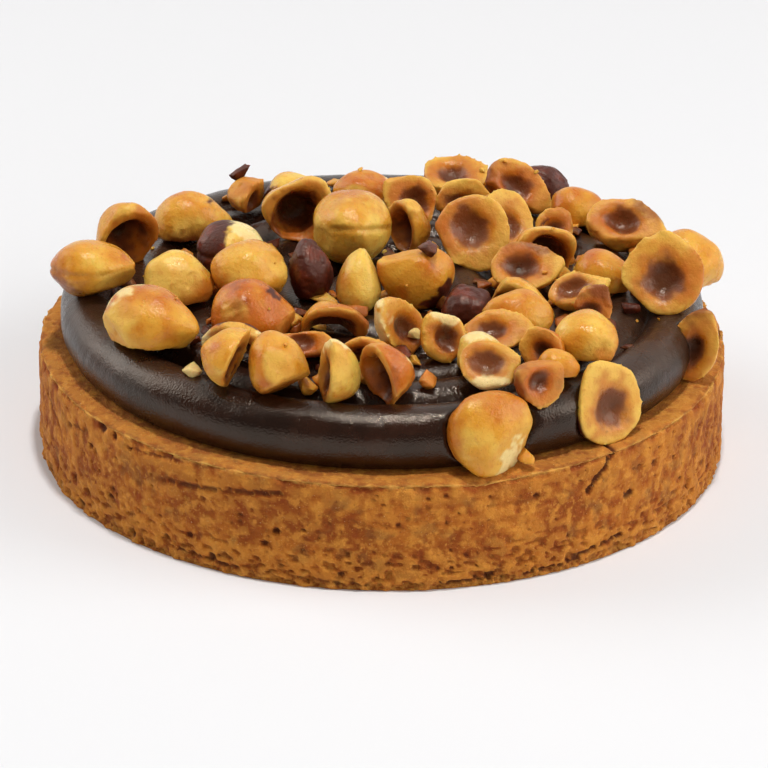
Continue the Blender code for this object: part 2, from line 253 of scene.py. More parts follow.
def shell_rows():
    """Rows of (radius, height, outward radius, outward height) from the recess to the underside."""
    inner = SHELL_RADIUS - RIM_WIDTH
    rows = [(0, RECESS_FLOOR, 0, 1)]
    rows += [(inner * share, RECESS_FLOOR, 0, 1) for share in (0.5, 0.9, 0.99)]
    rows += [(inner, height, -1, 0) for height in np.arange(RECESS_FLOOR + 0.3, SHELL_HEIGHT - 0.2, GRID_SIZE)]
    rows += [(radius, SHELL_HEIGHT, 0, 1) for radius in np.arange(inner + 0.1, SHELL_RADIUS - EDGE_RADIUS, 0.36)]
    for degrees in (80, 58, 35, 12):
        turn = math.radians(degrees)
        side, rise = math.cos(turn), math.sin(turn)
        rows.append((
            SHELL_RADIUS - EDGE_RADIUS * (1 - side), SHELL_HEIGHT - EDGE_RADIUS * (1 - rise), side, rise
        ))
    rows += [(SHELL_RADIUS, height, 1, 0) for height in np.arange(SHELL_HEIGHT - 1, 0.7, -GRID_SIZE)]
    rows += [(SHELL_RADIUS - 0.08, 0.45, 0.9, 0), (SHELL_RADIUS - 0.3, 0.12, 0.5, 0), (SHELL_RADIUS - 0.9, 0, 0, 0)]
    rows += [(SHELL_RADIUS * share, 0, 0, 0) for share in (0.95, 0.8, 0.5, 0)]
    return np.array(rows)


SHELL_ROWS = shell_rows()
turns = np.linspace(-math.pi, math.pi, SHELL_STEPS, endpoint=False)
radius_grid = np.repeat(SHELL_ROWS[:, 0:1], SHELL_STEPS, axis=1)
height_grid = np.repeat(SHELL_ROWS[:, 1:2], SHELL_STEPS, axis=1)
turn_grid = np.repeat(turns[None, :], len(SHELL_ROWS), axis=0)
around = turn_grid * SHELL_RADIUS
spots = np.stack((radius_grid * np.cos(turn_grid), radius_grid * np.sin(turn_grid), height_grid), axis=-1)
flat_spots = spots.reshape(-1, 3)
print("shell grid:", len(SHELL_ROWS), "rows of", SHELL_STEPS)

# %% [markdown]
# Holes are shallow bowls with a ragged outline.  The large ones stand where the crumb tore, mostly
# low on the left, and many small ones are strewn over the wall.  Cracks and the dough's folds are
# lines that wander around the shell.

# %% Holes, cracks and folds, as a depth in millimetres
LARGE_HOLES = [
    # angle in degrees, height, width and depth in mm
    (-158.7, 3.5, 1.6, 0.9), (-151, 5.2, 1.7, 1.0), (-153.5, 3.4, 1.0, 0.6), (-146.6, 4.7, 1.8, 0.8),
    (-140, 6.6, 1.9, 0.8), (-149, 1.4, 1.8, 0.9), (-144, 1.2, 1.7, 0.9), (-134.7, 1.6, 2.0, 1.0),
    (-106.8, 9.6, 1.7, 1.1), (-108.7, 7.2, 1.7, 0.7), (-122.3, 5.4, 1.7, 0.7), (-142.5, 18.4, 2.6, 0.8),
    (-139, 18.2, 1.9, 0.8), (-145.6, 13.8, 1.2, 0.7), (-45.2, 10.4, 2.4, 0.7), (-39, 14, 1.6, 0.5),
    (-118, 2.6, 2.2, 0.7), (-127, 3.6, 1.6, 0.7), (-113, 11.5, 1.3, 0.5), (-96, 3, 1.8, 0.6),
    (-72, 1.8, 2.4, 0.7), (-64, 15.2, 1.5, 0.6), (-31, 8, 1.5, 0.5), (-58, 6.5, 1.2, 0.5),
]
SMALL_HOLES = 520
CRACKS = [
    # from angle and height to angle and height, then width, depth and wander in mm
    (-128, 14.0, -105, 16.9, 0.55, 0.42, 0.25), (-153.5, 14.6, -146.5, 15.8, 0.5, 0.35, 0.5),
    (-165, 15.2, -157, 12.0, 0.6, 0.35, 0.3), (-48.2, 19.9, -54.8, 13.0, 0.5, 0.8, 0.6),
    (-57, 2.2, -46, 3.4, 0.40, 0.6, 0.3), (-66, 0.9, -55, 1.7, 0.40, 0.6, 0.3),
    (-80, 1.2, -69, 0.9, 0.38, 0.5, 0.3), (-104, 1.6, -91, 1.0, 0.35, 0.4, 0.35),
    (-125, 2.2, -113, 1.5, 0.35, 0.5, 0.3), (-97, 13.2, -86, 11.8, 0.5, 0.2, 0.5),
    (-136, 17.4, -124, 18.6, 0.35, 0.35, 0.3), (-30, 3.1, -17, 4.4, 0.35, 0.4, 0.4),
    (5, 3.0, 19, 2.2, 0.4, 0.45, 0.4), (40, 15.0, 58, 16.0, 0.5, 0.35, 0.4),
    (84, 2.0, 98, 2.8, 0.4, 0.5, 0.3), (120, 13.5, 141, 12.8, 0.5, 0.3, 0.4),
    (158, 2.6, 171, 1.8, 0.4, 0.5, 0.3), (64, 18.6, 74, 13.4, 0.45, 0.6, 0.5),
]
on_wall = SHELL_ROWS[:, 0] > SHELL_RADIUS - RIM_WIDTH / 2
wobble = rough(flat_spots, 1.1, 3).reshape(around.shape)
ragged = rough(flat_spots, 0.8, 4).reshape(around.shape)


def hole_depth(degrees, height, width, depth):
    """A ragged bowl in the wall.  It only touches the columns near its own angle."""
    centre = math.radians(degrees)
    columns = np.where(np.abs(turns - centre) * SHELL_RADIUS < 1.2 * width)[0]
    rows = np.where(on_wall & (np.abs(SHELL_ROWS[:, 1] - height) < 1.2 * width))[0]
    if not len(columns) or not len(rows):
        return
    block = np.ix_(rows, columns)
    side = (turn_grid[block] - centre) * SHELL_RADIUS / (0.5 * width)
    rise = (height_grid[block] - height) / (0.38 * width)
    reach = np.sqrt(side ** 2 + rise ** 2) * (1 + 0.45 * wobble[block])
    bowl = depth * (1 - soft_step(reach, 0.45, 1.1))
    holes[block] = np.maximum(holes[block], bowl)


holes = np.zeros(around.shape)
for hole in LARGE_HOLES:
    hole_depth(*hole)
for _ in range(SMALL_HOLES):
    low = rng.random() ** 1.5
    hole_depth(rng.uniform(-179, 179), 0.8 + 18.6 * low, rng.uniform(0.5, 1.25), rng.uniform(0.15, 0.5))

cracks = np.zeros(around.shape)
for start, z_start, end, z_end, width, depth, wander in CRACKS:
    share = (turn_grid - math.radians(start)) / math.radians(end - start)
    line = z_start + (z_end - z_start) * share + wander * rough(
        np.stack((around[0], 0 * around[0], 0 * around[0] + start), axis=-1), 1.6, 5)[None, :]
    steep = math.hypot(1, (z_end - z_start) / (math.radians(end - start) * SHELL_RADIUS))
    off = np.abs(height_grid - line) / steep
    ends = soft_step(share, -0.04, 0.06) * soft_step(1 - share, -0.04, 0.06)
    broken = soft_step(ragged, -0.5, 0.0)
    slot = depth * ends * broken * (1 - soft_step(off, 0.15, width + 0.25))
    cracks = np.where(on_wall[:, None], np.maximum(cracks, slot), cracks)
print("holes up to", round(float(holes.max()), 2), "mm and cracks up to", round(float(cracks.max()), 2), "mm deep")

# %% [markdown]
# The wall also swells and dips softly, its surface is sandy, and the rim's outer edge crumbles.
# Towards the ganache the rim is nearly flat.

# %% Turn the relief into the shell's mesh
swell = rough(flat_spots, 7.5, 1).reshape(around.shape)
lumps = rough(flat_spots, 2.6, 2).reshape(around.shape)
sandy = rough(flat_spots, 0.95, 6).reshape(around.shape)
torn = rough(flat_spots * np.array((1, 1, 2.2)), 1.7, 8).reshape(around.shape)
crumb = rough(flat_spots, 1.25, 9).reshape(around.shape)
crumbly = (1 - soft_step(height_grid + 2.5 * swell + 1.5 * lumps, 3.5, 9)) * on_wall[:, None]
rim_edge = np.exp(
    -((radius_grid - SHELL_RADIUS + 0.3) / 0.9) ** 2 - ((height_grid - SHELL_HEIGHT + 0.4) / 1.0) ** 2
)
foot_edge = np.exp(-((radius_grid - SHELL_RADIUS) / 1.2) ** 2 - (height_grid / 1.5) ** 2)
NOTCH_ANGLE = -73
LEAST_RELIEF = 0.15
notch = np.exp(-((np.degrees(turn_grid) - NOTCH_ANGLE) / 6) ** 2)
relief = (
    0.34
    + 0.26 * swell
    + 0.22 * lumps
    + 0.15 * sandy
    + (0.07 + 0.50 * crumbly) * soft_step(torn, 0.10, 0.45)
    + (0.04 + 0.22 * crumbly) * soft_step(crumb, 0.10, 0.5)
    + 0.70 * rim_edge * (1 + ragged + 1.2 * lumps)
    + 0.60 * foot_edge * (0.8 + 1.2 * ragged + 1.2 * lumps)
    + holes
    + cracks
)
relief = np.clip(relief, LEAST_RELIEF, None)
blurred = relief.copy()
for reach in (1, 2, 4):
    blurred = (blurred + np.roll(blurred, reach, 1) + np.roll(blurred, -reach, 1)) / 3
    blurred = (blurred + np.roll(blurred, reach, 0) + np.roll(blurred, -reach, 0)) / 3
# painted light: how far each point stands above or below its blurred surroundings, for a painted highlight on raised
# points and painted shade in dents
relief_shading = np.clip(0.5 + (relief - blurred) / 0.55, 0, 1)
# painted shadow: a dark band on the wall just under the rim's lip
lip_shade = np.exp(-((height_grid - 18.3) / 0.9) ** 2) * on_wall[:, None]
lip_shade = lip_shade * soft_step(lumps + 0.5 * swell, -0.1, 0.5)
top_share = np.where(SHELL_ROWS[:, 3:4] > 0.5, 0.75, 1.0)
sink = relief * top_share
outward = SHELL_ROWS[:, 2:4]
moved_radius = radius_grid - sink * outward[:, 0:1]
moved_height = height_grid - sink * outward[:, 1:2]
moved_height -= 0.6 * notch * soft_step(height_grid, 18.5, 20.0) * soft_step(radius_grid, 57, 59.5)
moved_height = np.where(height_grid > 0.6, moved_height, height_grid)
points = np.stack((moved_radius * np.cos(turn_grid), moved_radius * np.sin(turn_grid), moved_height), axis=-1) * MM
shell_mesh = grid_mesh("shortcrust", points)
add_masks(shell_mesh, {
    "hole": grid_mask(np.clip((holes + cracks) / 0.55, 0, 1)),
    "edge": grid_mask(rim_edge * (0.75 + 0.5 * ragged)),
    "foot": grid_mask(foot_edge),
    "relief_shading": grid_mask(relief_shading),
    "lip": grid_mask(lip_shade),
    "top": grid_mask(np.repeat(SHELL_ROWS[:, 3:4] > 0.5, SHELL_STEPS, axis=1) * 1.0),
})
print("shell mesh:", 2 * len(shell_mesh.polygons), "triangles")

# %% [markdown]
# ### The shell's finish
# Baked butter dough is orange-brown over most of the wall and slightly grey in patches.  Raised
# points and the rounded rim edge are painted lighter gold, a painted highlight, and dents darker, a
# painted shade.  A dark band just under the rim's lip is a painted shadow.  Holes are dark because
# little light gets in, and their dough is baked moist.  The surface is dry, so it is rough, with only
# a trace of butter gloss.

# %% Shortcrust
def make_crust_finish():
    sheet = Sheet("shortcrust")
    broad = sheet.grain(9, 3, 0.1)
    mottle = sheet.grain(2.2, 4, 0.2)
    fine = sheet.grain(0.7, 3, 0.3)
    sand = sheet.grain(0.28, 2, 0.4)
    colour = sheet.blend(sheet.between(broad, 0.40, 0.62), tint(150, 76, 22), tint(184, 106, 34))
    colour = sheet.blend(sheet.between(mottle, 0.50, 0.64) * 0.70, colour, tint(212, 140, 50))
    colour = sheet.blend(sheet.between(1 - mottle, 0.53, 0.66) * 0.60, colour, tint(138, 56, 14))
    grey = sheet.between(sheet.grain(4.5, 3, 0.5), 0.54, 0.66) * 0.50
    colour = sheet.blend(grey, colour, tint(138, 90, 40))
    colour = sheet.blend(sheet.between(fine, 0.56, 0.70) * 0.45, colour, tint(222, 156, 64))
    colour = sheet.blend(sheet.between(1 - fine, 0.58, 0.72) * 0.45, colour, tint(112, 56, 22))
    # painted highlight on raised points and painted shade in dents
    high = sheet.between(1 - sheet.mask("relief_shading"), 0.48, 0.75)
    low = sheet.between(sheet.mask("relief_shading"), 0.54, 0.88)
    colour = sheet.blend(high * 0.40, colour, tint(214, 144, 54))
    colour = sheet.blend(low * 0.45, colour, tint(104, 46, 14))
    colour = sheet.blend(sheet.mask("top") * 0.25, colour, tint(176, 120, 58))
    # painted shadow under the rim's lip
    colour = sheet.blend(sheet.mask("lip") * 0.55, colour, tint(142, 56, 16))
    # painted highlight: the rounded rim edge is painted light gold where it catches the light
    colour = sheet.blend(sheet.between(sheet.mask("edge"), 0.30, 0.85) * 0.75, colour, tint(232, 176, 84))
    colour = sheet.blend(sheet.mask("foot") * sheet.between(fine, 0.35, 0.6) * 0.5, colour, tint(214, 152, 66))
    colour = sheet.blend(sheet.between(sheet.mask("hole"), 0.25, 1.0) * 0.85, colour, tint(72, 32, 12))
    sugar = sheet.between(sand, 0.70, 0.76) * 0.55
    colour = sheet.blend(sugar, colour, tint(240, 206, 140))
    roughness = 0.78 - sheet.between(mottle, 0.5, 0.7) * 0.14
    height = fine * 0.6 + sand * 0.4
    return sheet.finish(
        colour, roughness, sheet.bump(height, 0.45), Subsurface_Weight=0.1, Subsurface_Scale=0.0015,
        IOR=1.4, Specular_IOR_Level=0.3,
    )


crust_finish = make_crust_finish()
shell = add_piece("shortcrust_looks", shell_mesh, crust_finish, "crust", ["shortcrust_shell"])

# %% [markdown]
# ## The ganache
# Warm ganache is piped through a round nozzle in rings, and the rings run into each other.  Each
# ring is a rope 10 mm thick.  At the back the rope steps inwards to start the next ring.  The height
# of the surface is the highest rope that passes over a place, with softened valleys between them.

# %% The piped rope's surface
OUTER_ROPE = 50.9
ROPE_RADIUS = 5.0
ROPE_PITCH = 8.9
ROPE_RINGS = 6
GANACHE_TOP = 30.0
ROPE_CENTRE = GANACHE_TOP - ROPE_RADIUS
GANACHE_BASE = 16.9
BACK_DROP = 1.6
STEP_START, STEP_END = 30, 150
VALLEY = 0.975


def rope_height(radius, turn):
    """The height of the piped surface in millimetres, for arrays of radii and angles."""
    degrees = np.degrees(turn) % 360
    step = soft_step(degrees, STEP_START, STEP_END)
    nearest = np.abs(radius - OUTER_ROPE)
    for ring in range(ROPE_RINGS):
        line = OUTER_ROPE - ROPE_PITCH * (ring + step)
        nearest = np.where(line > 0, np.minimum(nearest, np.abs(radius - line)), nearest)
    nearest = np.minimum(nearest, VALLEY * ROPE_RADIUS)
    arch = np.sqrt(ROPE_RADIUS ** 2 - nearest ** 2)
    spots = np.stack((radius * np.cos(turn), radius * np.sin(turn), 0 * radius), axis=-1)
    uneven = 0.35 * rough(spots.reshape(-1, 3), 14).reshape(np.shape(radius))
    back = BACK_DROP * soft_step(spots[..., 1], 0, OUTER_ROPE)
    return ROPE_CENTRE + arch + uneven - back


# %% The ganache's grid
GANACHE_STEPS = 640
SQUASH = 0.55
SETTLE = 0.55


def ganache_rows():
    """Rows of (radius, height or None where the rope gives it, share of the rope's swelling)."""
    rows = [(radius, None, 1) for radius in np.arange(0, OUTER_ROPE, 0.5)]
    for degrees in range(87, -88, -6):
        turn = math.radians(degrees)
        side = math.cos(turn) if degrees > 0 else math.cos(turn) ** SQUASH
        drop = SETTLE if degrees < 0 else 0
        rows.append((
            OUTER_ROPE + ROPE_RADIUS * side, ROPE_CENTRE + (ROPE_RADIUS + drop) * math.sin(turn), 1
        ))
    rows += [(OUTER_ROPE, 19.3, 0), (50.6, 17.2, 0)]
    rows += [(radius, GANACHE_BASE, 0) for radius in (50, 25, 0)]
    return rows


rows = ganache_rows()
turns = np.linspace(-math.pi, math.pi, GANACHE_STEPS, endpoint=False)
turn_grid = np.repeat(turns[None, :], len(rows), axis=0)
radius_grid = np.array([[row[0]] for row in rows]) * np.ones((1, GANACHE_STEPS))
crown = rope_height(np.full(GANACHE_STEPS, OUTER_ROPE), turns) - GANACHE_TOP
piped = [index for index, row in enumerate(rows) if row[1] is None]
height_grid = np.array([[row[1] or 0.0] for row in rows]) * np.ones((1, GANACHE_STEPS))
height_grid[piped] = rope_height(radius_grid[piped], turn_grid[piped])
for index, row in enumerate(rows):
    if row[1] is not None and row[2]:
        height_grid[index] += crown * (row[1] - SHELL_HEIGHT) / (2 * ROPE_RADIUS)
rope_skin = np.array([[1.0 if row[1] is None or row[2] else 0.0] for row in rows])

# %% [markdown]
# Ganache sets as it leaves the nozzle, so fine wrinkles run across the rope where it was dragged,
# and the rope swells and narrows a little.

# %% Wrinkles and swelling
degrees = np.degrees(turn_grid)
flow = np.stack((radius_grid * np.cos(turn_grid), radius_grid * np.sin(turn_grid), height_grid), axis=-1)
flat_flow = flow.reshape(-1, 3)
wide = rough(flat_flow, 9, 11).reshape(radius_grid.shape)
soft = rough(flat_flow, 3.2, 12).reshape(radius_grid.shape)
drag = turn_grid * 50 + 1.6 * wide + 0.35 * radius_grid
wrinkle = np.sin(drag * 2 * math.pi / 1.9) + 0.6 * np.sin(drag * 2 * math.pi / 1.13 + 2 * soft)
left_side = soft_step(np.abs(degrees), 118, 150)
right_side = 1 - soft_step(np.abs(degrees + 8), 18, 42)
dragged = np.clip(0.12 + left_side + 0.8 * right_side, 0, 1) * (0.55 + 0.45 * wide)
swelling = (0.22 * wide + 0.10 * soft + 0.035 * wrinkle * dragged) * rope_skin
outer = soft_step(radius_grid, OUTER_ROPE - 1.5, OUTER_ROPE + ROPE_RADIUS)
height_grid = height_grid + swelling * (1 - 0.7 * outer)
radius_grid = radius_grid + swelling * outer
print("ganache grid:", len(rows), "rows of", GANACHE_STEPS)

# %% [markdown]
# ## The hazelnuts
# A hazelnut is two halves with a small hollow between them, under a papery dark skin.  Roasting
# loosens the skin, and a knife breaks the halves.  So each piece starts as the same kernel and is
# then split, hollowed and broken like the real one.  The break faces are rough and pale, the outside
# is smooth and golden, and the hollow is brown.
#
# Each line below gives one piece: its length, width and half thickness in millimetres, where its
# split face looks (azimuth and elevation), the clock angle of its tip, how deeply it is roasted, how
# dark the middle of its hollow is painted (its brown lining, with painted shade), the breaks, and
# marks such as a bit of skin on its left.

# %% What each piece looks like
Nut = namedtuple("Nut", "size look spin roast inside cuts marks")


def nut(size, look, spin, roast, inside=0.5, cuts=(), marks=()):
    return Nut(size, look, spin, roast, inside, cuts, marks)


# Directions as someone at the front sees them: to the right, up, and towards them
LEFT, RIGHT, UP, DOWN, NEAR = (-1, 0, 0), (1, 0, 0), (0, 1, 0), (0, -1, 0), (0, 0, 1)
UP_LEFT, UP_RIGHT = (-0.7, 0.7, 0), (0.7, 0.7, 0)
LOW_LEFT, LOW_RIGHT = (-0.7, -0.7, 0), (0.7, -0.7, 0)

NUTS = {
    "half_55": nut((15, 13.5, 4.6), (40, 14), -25, 0.10, 0.45, marks=[("skin", LOW_LEFT, 0.85)]),
    "kernel_56": nut((15, 14.5, 4.1), (20, 18), 60, 0.34, cuts=[(135, 50, 0.26)],
                     marks=[("orange", UP, 0.5), ("orange", LEFT, 0.6), ("cream", LOW_RIGHT, 0.85)]),
    "half_57": nut((14, 8.4, 4.2), (-15, 12), 10, 0.55, 0.9, marks=[("brown", UP, 0.75)]),
    "kernel_01": nut((14.5, 11.5, 4.7), (0, -80), 95, 0.35, marks=[("orange", LEFT, 0.6), ("brown", LOW_LEFT, 0.75)]),
    "bowl_02": nut((13.5, 11, 7), (25, -15), 0, 0.45, 1.0, marks=[("orange", RIGHT, 0.5)]),
    "dome_03": nut((13.5, 10.5, 5.4), (0, -75), 100, 0.45, marks=[("brown", DOWN, 0.55), ("skin", UP_RIGHT, 0.93)]),
    "dome_04": nut((12.2, 10.8, 5.6), (0, -80), 65, 0.12, marks=[("orange", LOW_RIGHT, 0.6)]),
    "kernel_05": nut((12.5, 11, 5), (0, -80), 80, 0.15, marks=[("skin", LEFT, 0.1), ("cream", UP_RIGHT, 0.5)]),
    "dome_06": nut((16, 14, 6.2), (0, -80), 60, 0.50, cuts=[(-60, 20, 0.38)], marks=[("cream", UP_LEFT, 0.85)]),
    "dome_07": nut((14, 13, 6), (0, -85), 90, 0.82, marks=[("orange", DOWN, 0.1), ("skin", UP_RIGHT, 0.9)]),
    "dome_08": nut((14, 11.5, 5.6), (0, -60), -50, 0.32, marks=[("orange", LOW_LEFT, 0.6)]),
    "half_09": nut((11.5, 8.5, 6), (70, -15), 50, 0.45, 0.95, marks=[("skin", LOW_RIGHT, 0.75)]),
    "dome_10": nut((10.5, 9.5, 6), (40, -50), 180, 0.50, cuts=[(100, 0, 0.38)], marks=[("orange", DOWN, 0.6)]),
    "arch_11": nut((13.5, 11, 7), (-15, -5), 80, 0.75, 0.8, [(190, 0, 0.10)],
                   [("skin", UP, 0.5), ("cream", RIGHT, 0.6), ("cream", LEFT, 0.7)]),
    "wedge_12": nut((12, 8.5, 5), (10, 30), 95, 0.45, 0.3, [(0, 0, 0.14), (180, 0, 0.20)], [("brown", DOWN, 0.5)]),
    "half_13": nut((12.5, 8.5, 5.8), (-75, 5), 15, 0.18, 0.6, marks=[("cream", UP, 0.6), ("orange", DOWN, 0.8)]),
    "arch_14": nut((12.5, 10.5, 6.5), (5, -5), 90, 0.65, 0.55, [(180, 0, 0.06)], [("brown", RIGHT, 0.7)]),
    "arch_15": nut((11.3, 9, 5.6), (-10, 10), 76, 0.60, 0.5, [(186, 0, 0.09)], [("skin", UP, 0.85)]),
    "half_16": nut((13, 8.5, 5.2), (50, 15), -40, 0.55, 0.4, [(140, 10, 0.42)], [("cream", LEFT, 0.55)]),
    "bowl_17": nut((11.5, 10.5, 6.5), (-55, -10), 10, 0.70, 1.0, marks=[("orange", RIGHT, 0.4), ("cream", UP_RIGHT, 0.9)]),
    "kernel_18": nut((14.2, 13.6, 6.2), (0, -70), 10, 0.28, marks=[("orange", UP, 0.8)]),
    "skin_19": nut((11, 7.4, 3.8), (175, -20), 10, 0.9, marks=[("skin", NEAR, -2)]),
    "dome_20": nut((11.5, 7.4, 4), (180, -25), 0, 0.05, marks=[("orange", LEFT, 0.75)]),
    "dome_21": nut((13.5, 11, 4.6), (190, -10), 60, 0.60, cuts=[(10, 0, 0.30)], marks=[("skin", LOW_RIGHT, 0.72)]),
    "skin_22": nut((10, 8.5, 3.8), (0, -80), 60, 0.9, marks=[("skin", NEAR, -2)]),
    "bowl_23": nut((13, 12, 6.5), (10, 5), 40, 0.20, 1.0, marks=[("orange", DOWN, 0.6)]),
    "bowl_24": nut((11, 9.5, 5.2), (-60, 0), 20, 0.50, 1.0),
    "half_25": nut((12, 10.5, 5), (25, 45), 20, 0.15, 0.35),
    "half_26": nut((14, 13.2, 5.6), (5, 32), 155, 0.32, 0.35, marks=[("orange", LEFT, 0.8)]),
    "dome_27": nut((12, 10, 4.4), (0, -85), 90, 0.30, marks=[("skin", LEFT, 0.8)]),
    "wedge_28": nut((9, 8, 5), (60, -10), 20, 0.6, 0.6, [(180, 0, 0.3)], [("skin", UP_LEFT, 0.5)]),
    "dome_29": nut((12.5, 9.5, 4.4), (0, -70), 90, 0.55, cuts=[(80, 20, 0.32)], marks=[("cream", RIGHT, 0.7)]),
    "half_30": nut((11, 9, 5), (10, 30), -60, 0.55, 0.5),
    "half_31": nut((12, 10.5, 5), (0, 75), 90, 0.45, 0.6),
    "wedge_32": nut((12, 9, 5), (0, 20), 80, 0.30, 0.3, [(180, 0, 0.12)], [("orange", DOWN, 0.6)]),
    "wedge_33": nut((14, 9.5, 5), (20, 35), 130, 0.70, 0.5, [(220, 0, 0.15)], [("brown", LEFT, 0.7)]),
    "skin_34": nut((10, 8, 3.6), (0, -80), 100, 0.9, marks=[("skin", NEAR, -2)]),
    "half_35": nut((8, 7, 4), (0, 40), 30, 0.55, 0.8, marks=[("skin", LEFT, 0.5)]),
    "dome_36": nut((10, 8, 4.2), (0, -85), 90, 0.55),
    "wedge_37": nut((14.5, 10, 6.5), (0, 50), 100, 0.50, 0.3, [(180, 10, 0.22)], [("brown", UP_RIGHT, 0.85)]),
    "dome_38": nut((11, 8, 4.6), (0, -80), 60, 0.55, marks=[("orange", RIGHT, 0.6)]),
    "bowl_39": nut((11.5, 10, 6), (15, 0), -50, 0.40, 1.0),
    "dome_40": nut((12, 11.5, 5.6), (0, -85), 0, 0.42),
    "half_41": nut((14.5, 14, 5.8), (-5, 30), 0, 0.35, 0.65, marks=[("orange", RIGHT, 0.7)]),
    "half_42": nut((12.5, 9.5, 4.6), (0, 48), 80, 0.45, 0.7, marks=[("brown", UP, 0.8)]),
    "arch_43": nut((13, 11, 6.5), (-20, -10), 100, 0.45, 0.5, [(180, 0, 0.10)], [("skin", UP, 0.88)]),
    "half_44": nut((11, 6.8, 4.4), (-20, 55), 65, 0.15, 0.15),
    "wedge_45": nut((9.5, 7.5, 3.6), (10, 25), 40, 0.85, 0.7, [(220, 0, 0.15)], [("brown", UP_RIGHT, 0.5)]),
    "dome_46": nut((12, 8.5, 3.2), (190, -40), 80, 0.55, marks=[("cream", DOWN, 0.7)]),
    "half_47": nut((12, 8, 4.2), (0, 50), 85, 0.35, 0.45),
    "half_48": nut((9.5, 8, 5), (25, 20), -30, 0.35, 0.5, marks=[("cream", UP, 0.7)]),
    "dome_49": nut((11.5, 10, 5), (0, -80), 40, 0.35, marks=[("orange", LOW_RIGHT, 0.7)]),
    "dome_50": nut((8.5, 8, 3.8), (0, -30), 90, 0.10, marks=[("brown", DOWN, 0.75), ("cream", UP, 0.5)]),
    "half_51": nut((11.5, 9, 4.6), (-10, 48), 100, 0.35, 0.2, [(100, 0, 0.38)], [("cream", DOWN, 0.6)]),
    "half_52": nut((8.5, 7.6, 4.2), (-15, 15), -40, 0.65, 0.9),
    "dome_53": nut((7.5, 6, 3), (0, -75), 80, 0.45),
    "wedge_54": nut((10, 9, 5), (25, 15), 60, 0.85, 0.5, [(0, 10, 0.20)], [("brown", LEFT, 0.6)]),
}
HOLLOWS = {
    # width and depth of the hollow, as shares of the piece
    "half": (0.58, 0.30), "wedge": (0.50, 0.28), "bowl": (0.76, 0.78), "arch": (0.70, 0.66),
}
# how many corners a knife knocks off a piece of each kind, and the least share of its reach kept
CHIPS = {"kernel": (1, 0.92), "dome": (2, 0.86), "skin": (3, 0.84), "half": (2, 0.88), "wedge": (5, 0.76),
         "bowl": (3, 0.86), "arch": (4, 0.80)}
ROUNDED_SHARE = 0.5
print(len(NUTS), "pieces of nut")

# %% [markdown]
# A ball becomes a kernel: a pointed tip, a blunt base and soft lumps.  Then the split face, the
# hollow and the breaks are cut, and a voxel remesh gives the whole piece one even fine mesh, so that
# the rough detail is as fine on a break as on the outside.

# %% Shape one kernel
CELL = 0.36
BALL_LEVEL = 4


def kernel_points(size, seed, ball):
    """Ball points turned into a kernel's, in millimetres."""
    lump = 1 + 0.12 * rough(ball * 1.4, 1.0, 0.4 * seed) + 0.02 * rough(ball * 3.1, 1.0, seed)
    taper = 1 - 0.13 * ball[:, 0] - 0.10 * ball[:, 0] ** 2
    x = 0.5 * size[0] * ball[:, 0] * (1 + 0.08 * ball[:, 0]) * lump / 1.04
    y = 0.5 * size[1] * ball[:, 1] * taper * lump
    z = size[2] * ball[:, 2] * taper * lump
    return np.stack((x, y, z), axis=-1)


def slice_off(form, point, normal):
    """Cut everything beyond a plane away and close the cut."""
    everything = form.verts[:] + form.edges[:] + form.faces[:]
    bmesh.ops.bisect_plane(form, geom=everything, dist=0.001, plane_co=point, plane_no=normal, clear_outer=True)
    rim = [edge for edge in form.edges if edge.is_boundary]
    bmesh.ops.holes_fill(form, edges=rim, sides=0)
    bmesh.ops.triangulate(form, faces=[face for face in form.faces if len(face.verts) > 4])


def remeshed(mesh, cell):
    """The mesh rebuilt from even cells by a Remesh modifier."""
    holder = bpy.data.objects.new("remeshing", mesh)
    bpy.context.scene.collection.objects.link(holder)
    voxels = holder.modifiers.new("Cells", "REMESH")
    voxels.mode = "VOXEL"
    voxels.voxel_size = cell
    graph = bpy.context.evaluated_depsgraph_get()
    fresh = bpy.data.meshes.new_from_object(holder.evaluated_get(graph))
    bpy.data.objects.remove(holder, do_unlink=True)
    return fresh


def read_points(mesh):
    flat = np.empty(3 * len(mesh.vertices))
    mesh.vertices.foreach_get("co", flat)
    return flat.reshape(-1, 3)


def write_points(mesh, points):
    mesh.vertices.foreach_set("co", np.asarray(points, dtype=np.float32).reshape(-1))
    mesh.update()


def read_normals(mesh):
    flat = np.empty(3 * len(mesh.vertices))
    mesh.vertices.foreach_get("normal", flat)
    return flat.reshape(-1, 3)


def smoothed(mesh, rounds):
    """Average every vertex with its neighbours a few times."""
    ends = np.empty(2 * len(mesh.edges), dtype=int)
    mesh.edges.foreach_get("vertices", ends)
    one, two = ends.reshape(-1, 2).T
    points = read_points(mesh)
    count = np.bincount(ends, minlength=len(points))[:, None]
    for _ in range(rounds):
        total = np.zeros_like(points)
        np.add.at(total, one, points[two])
        np.add.at(total, two, points[one])
        points = 0.5 * points + 0.5 * total / count
    write_points(mesh, points)


# %% Split, hollow and break it
def cut_plane(cut, spin, length):
    """The normal and offset of a break, in the kernel's own frame."""
    clock, lean, offset = cut
    turn = math.radians(clock - spin)
    lean = math.radians(lean)
    normal = Vector((math.cos(turn) * math.cos(lean), -math.sin(turn) * math.cos(lean), math.sin(lean)))
    return normal, offset * length


def hollow_reach(points, kind, size, seed):
    """How far out a point is in the hollow: 0 in its middle and 1 at its edge."""
    width = HOLLOWS[kind][0]
    shift = 0.05 * size[0]
    side = (points[:, 0] + shift) / (0.5 * size[0] * width)
    across = points[:, 1] / (0.5 * size[1] * width)
    flat = points * np.array((1, 1, 0))
    return np.sqrt(side ** 2 + across ** 2) * (1 + 0.16 * rough(flat, 4.0, seed) + 0.03 * rough(flat, 1.2, seed))


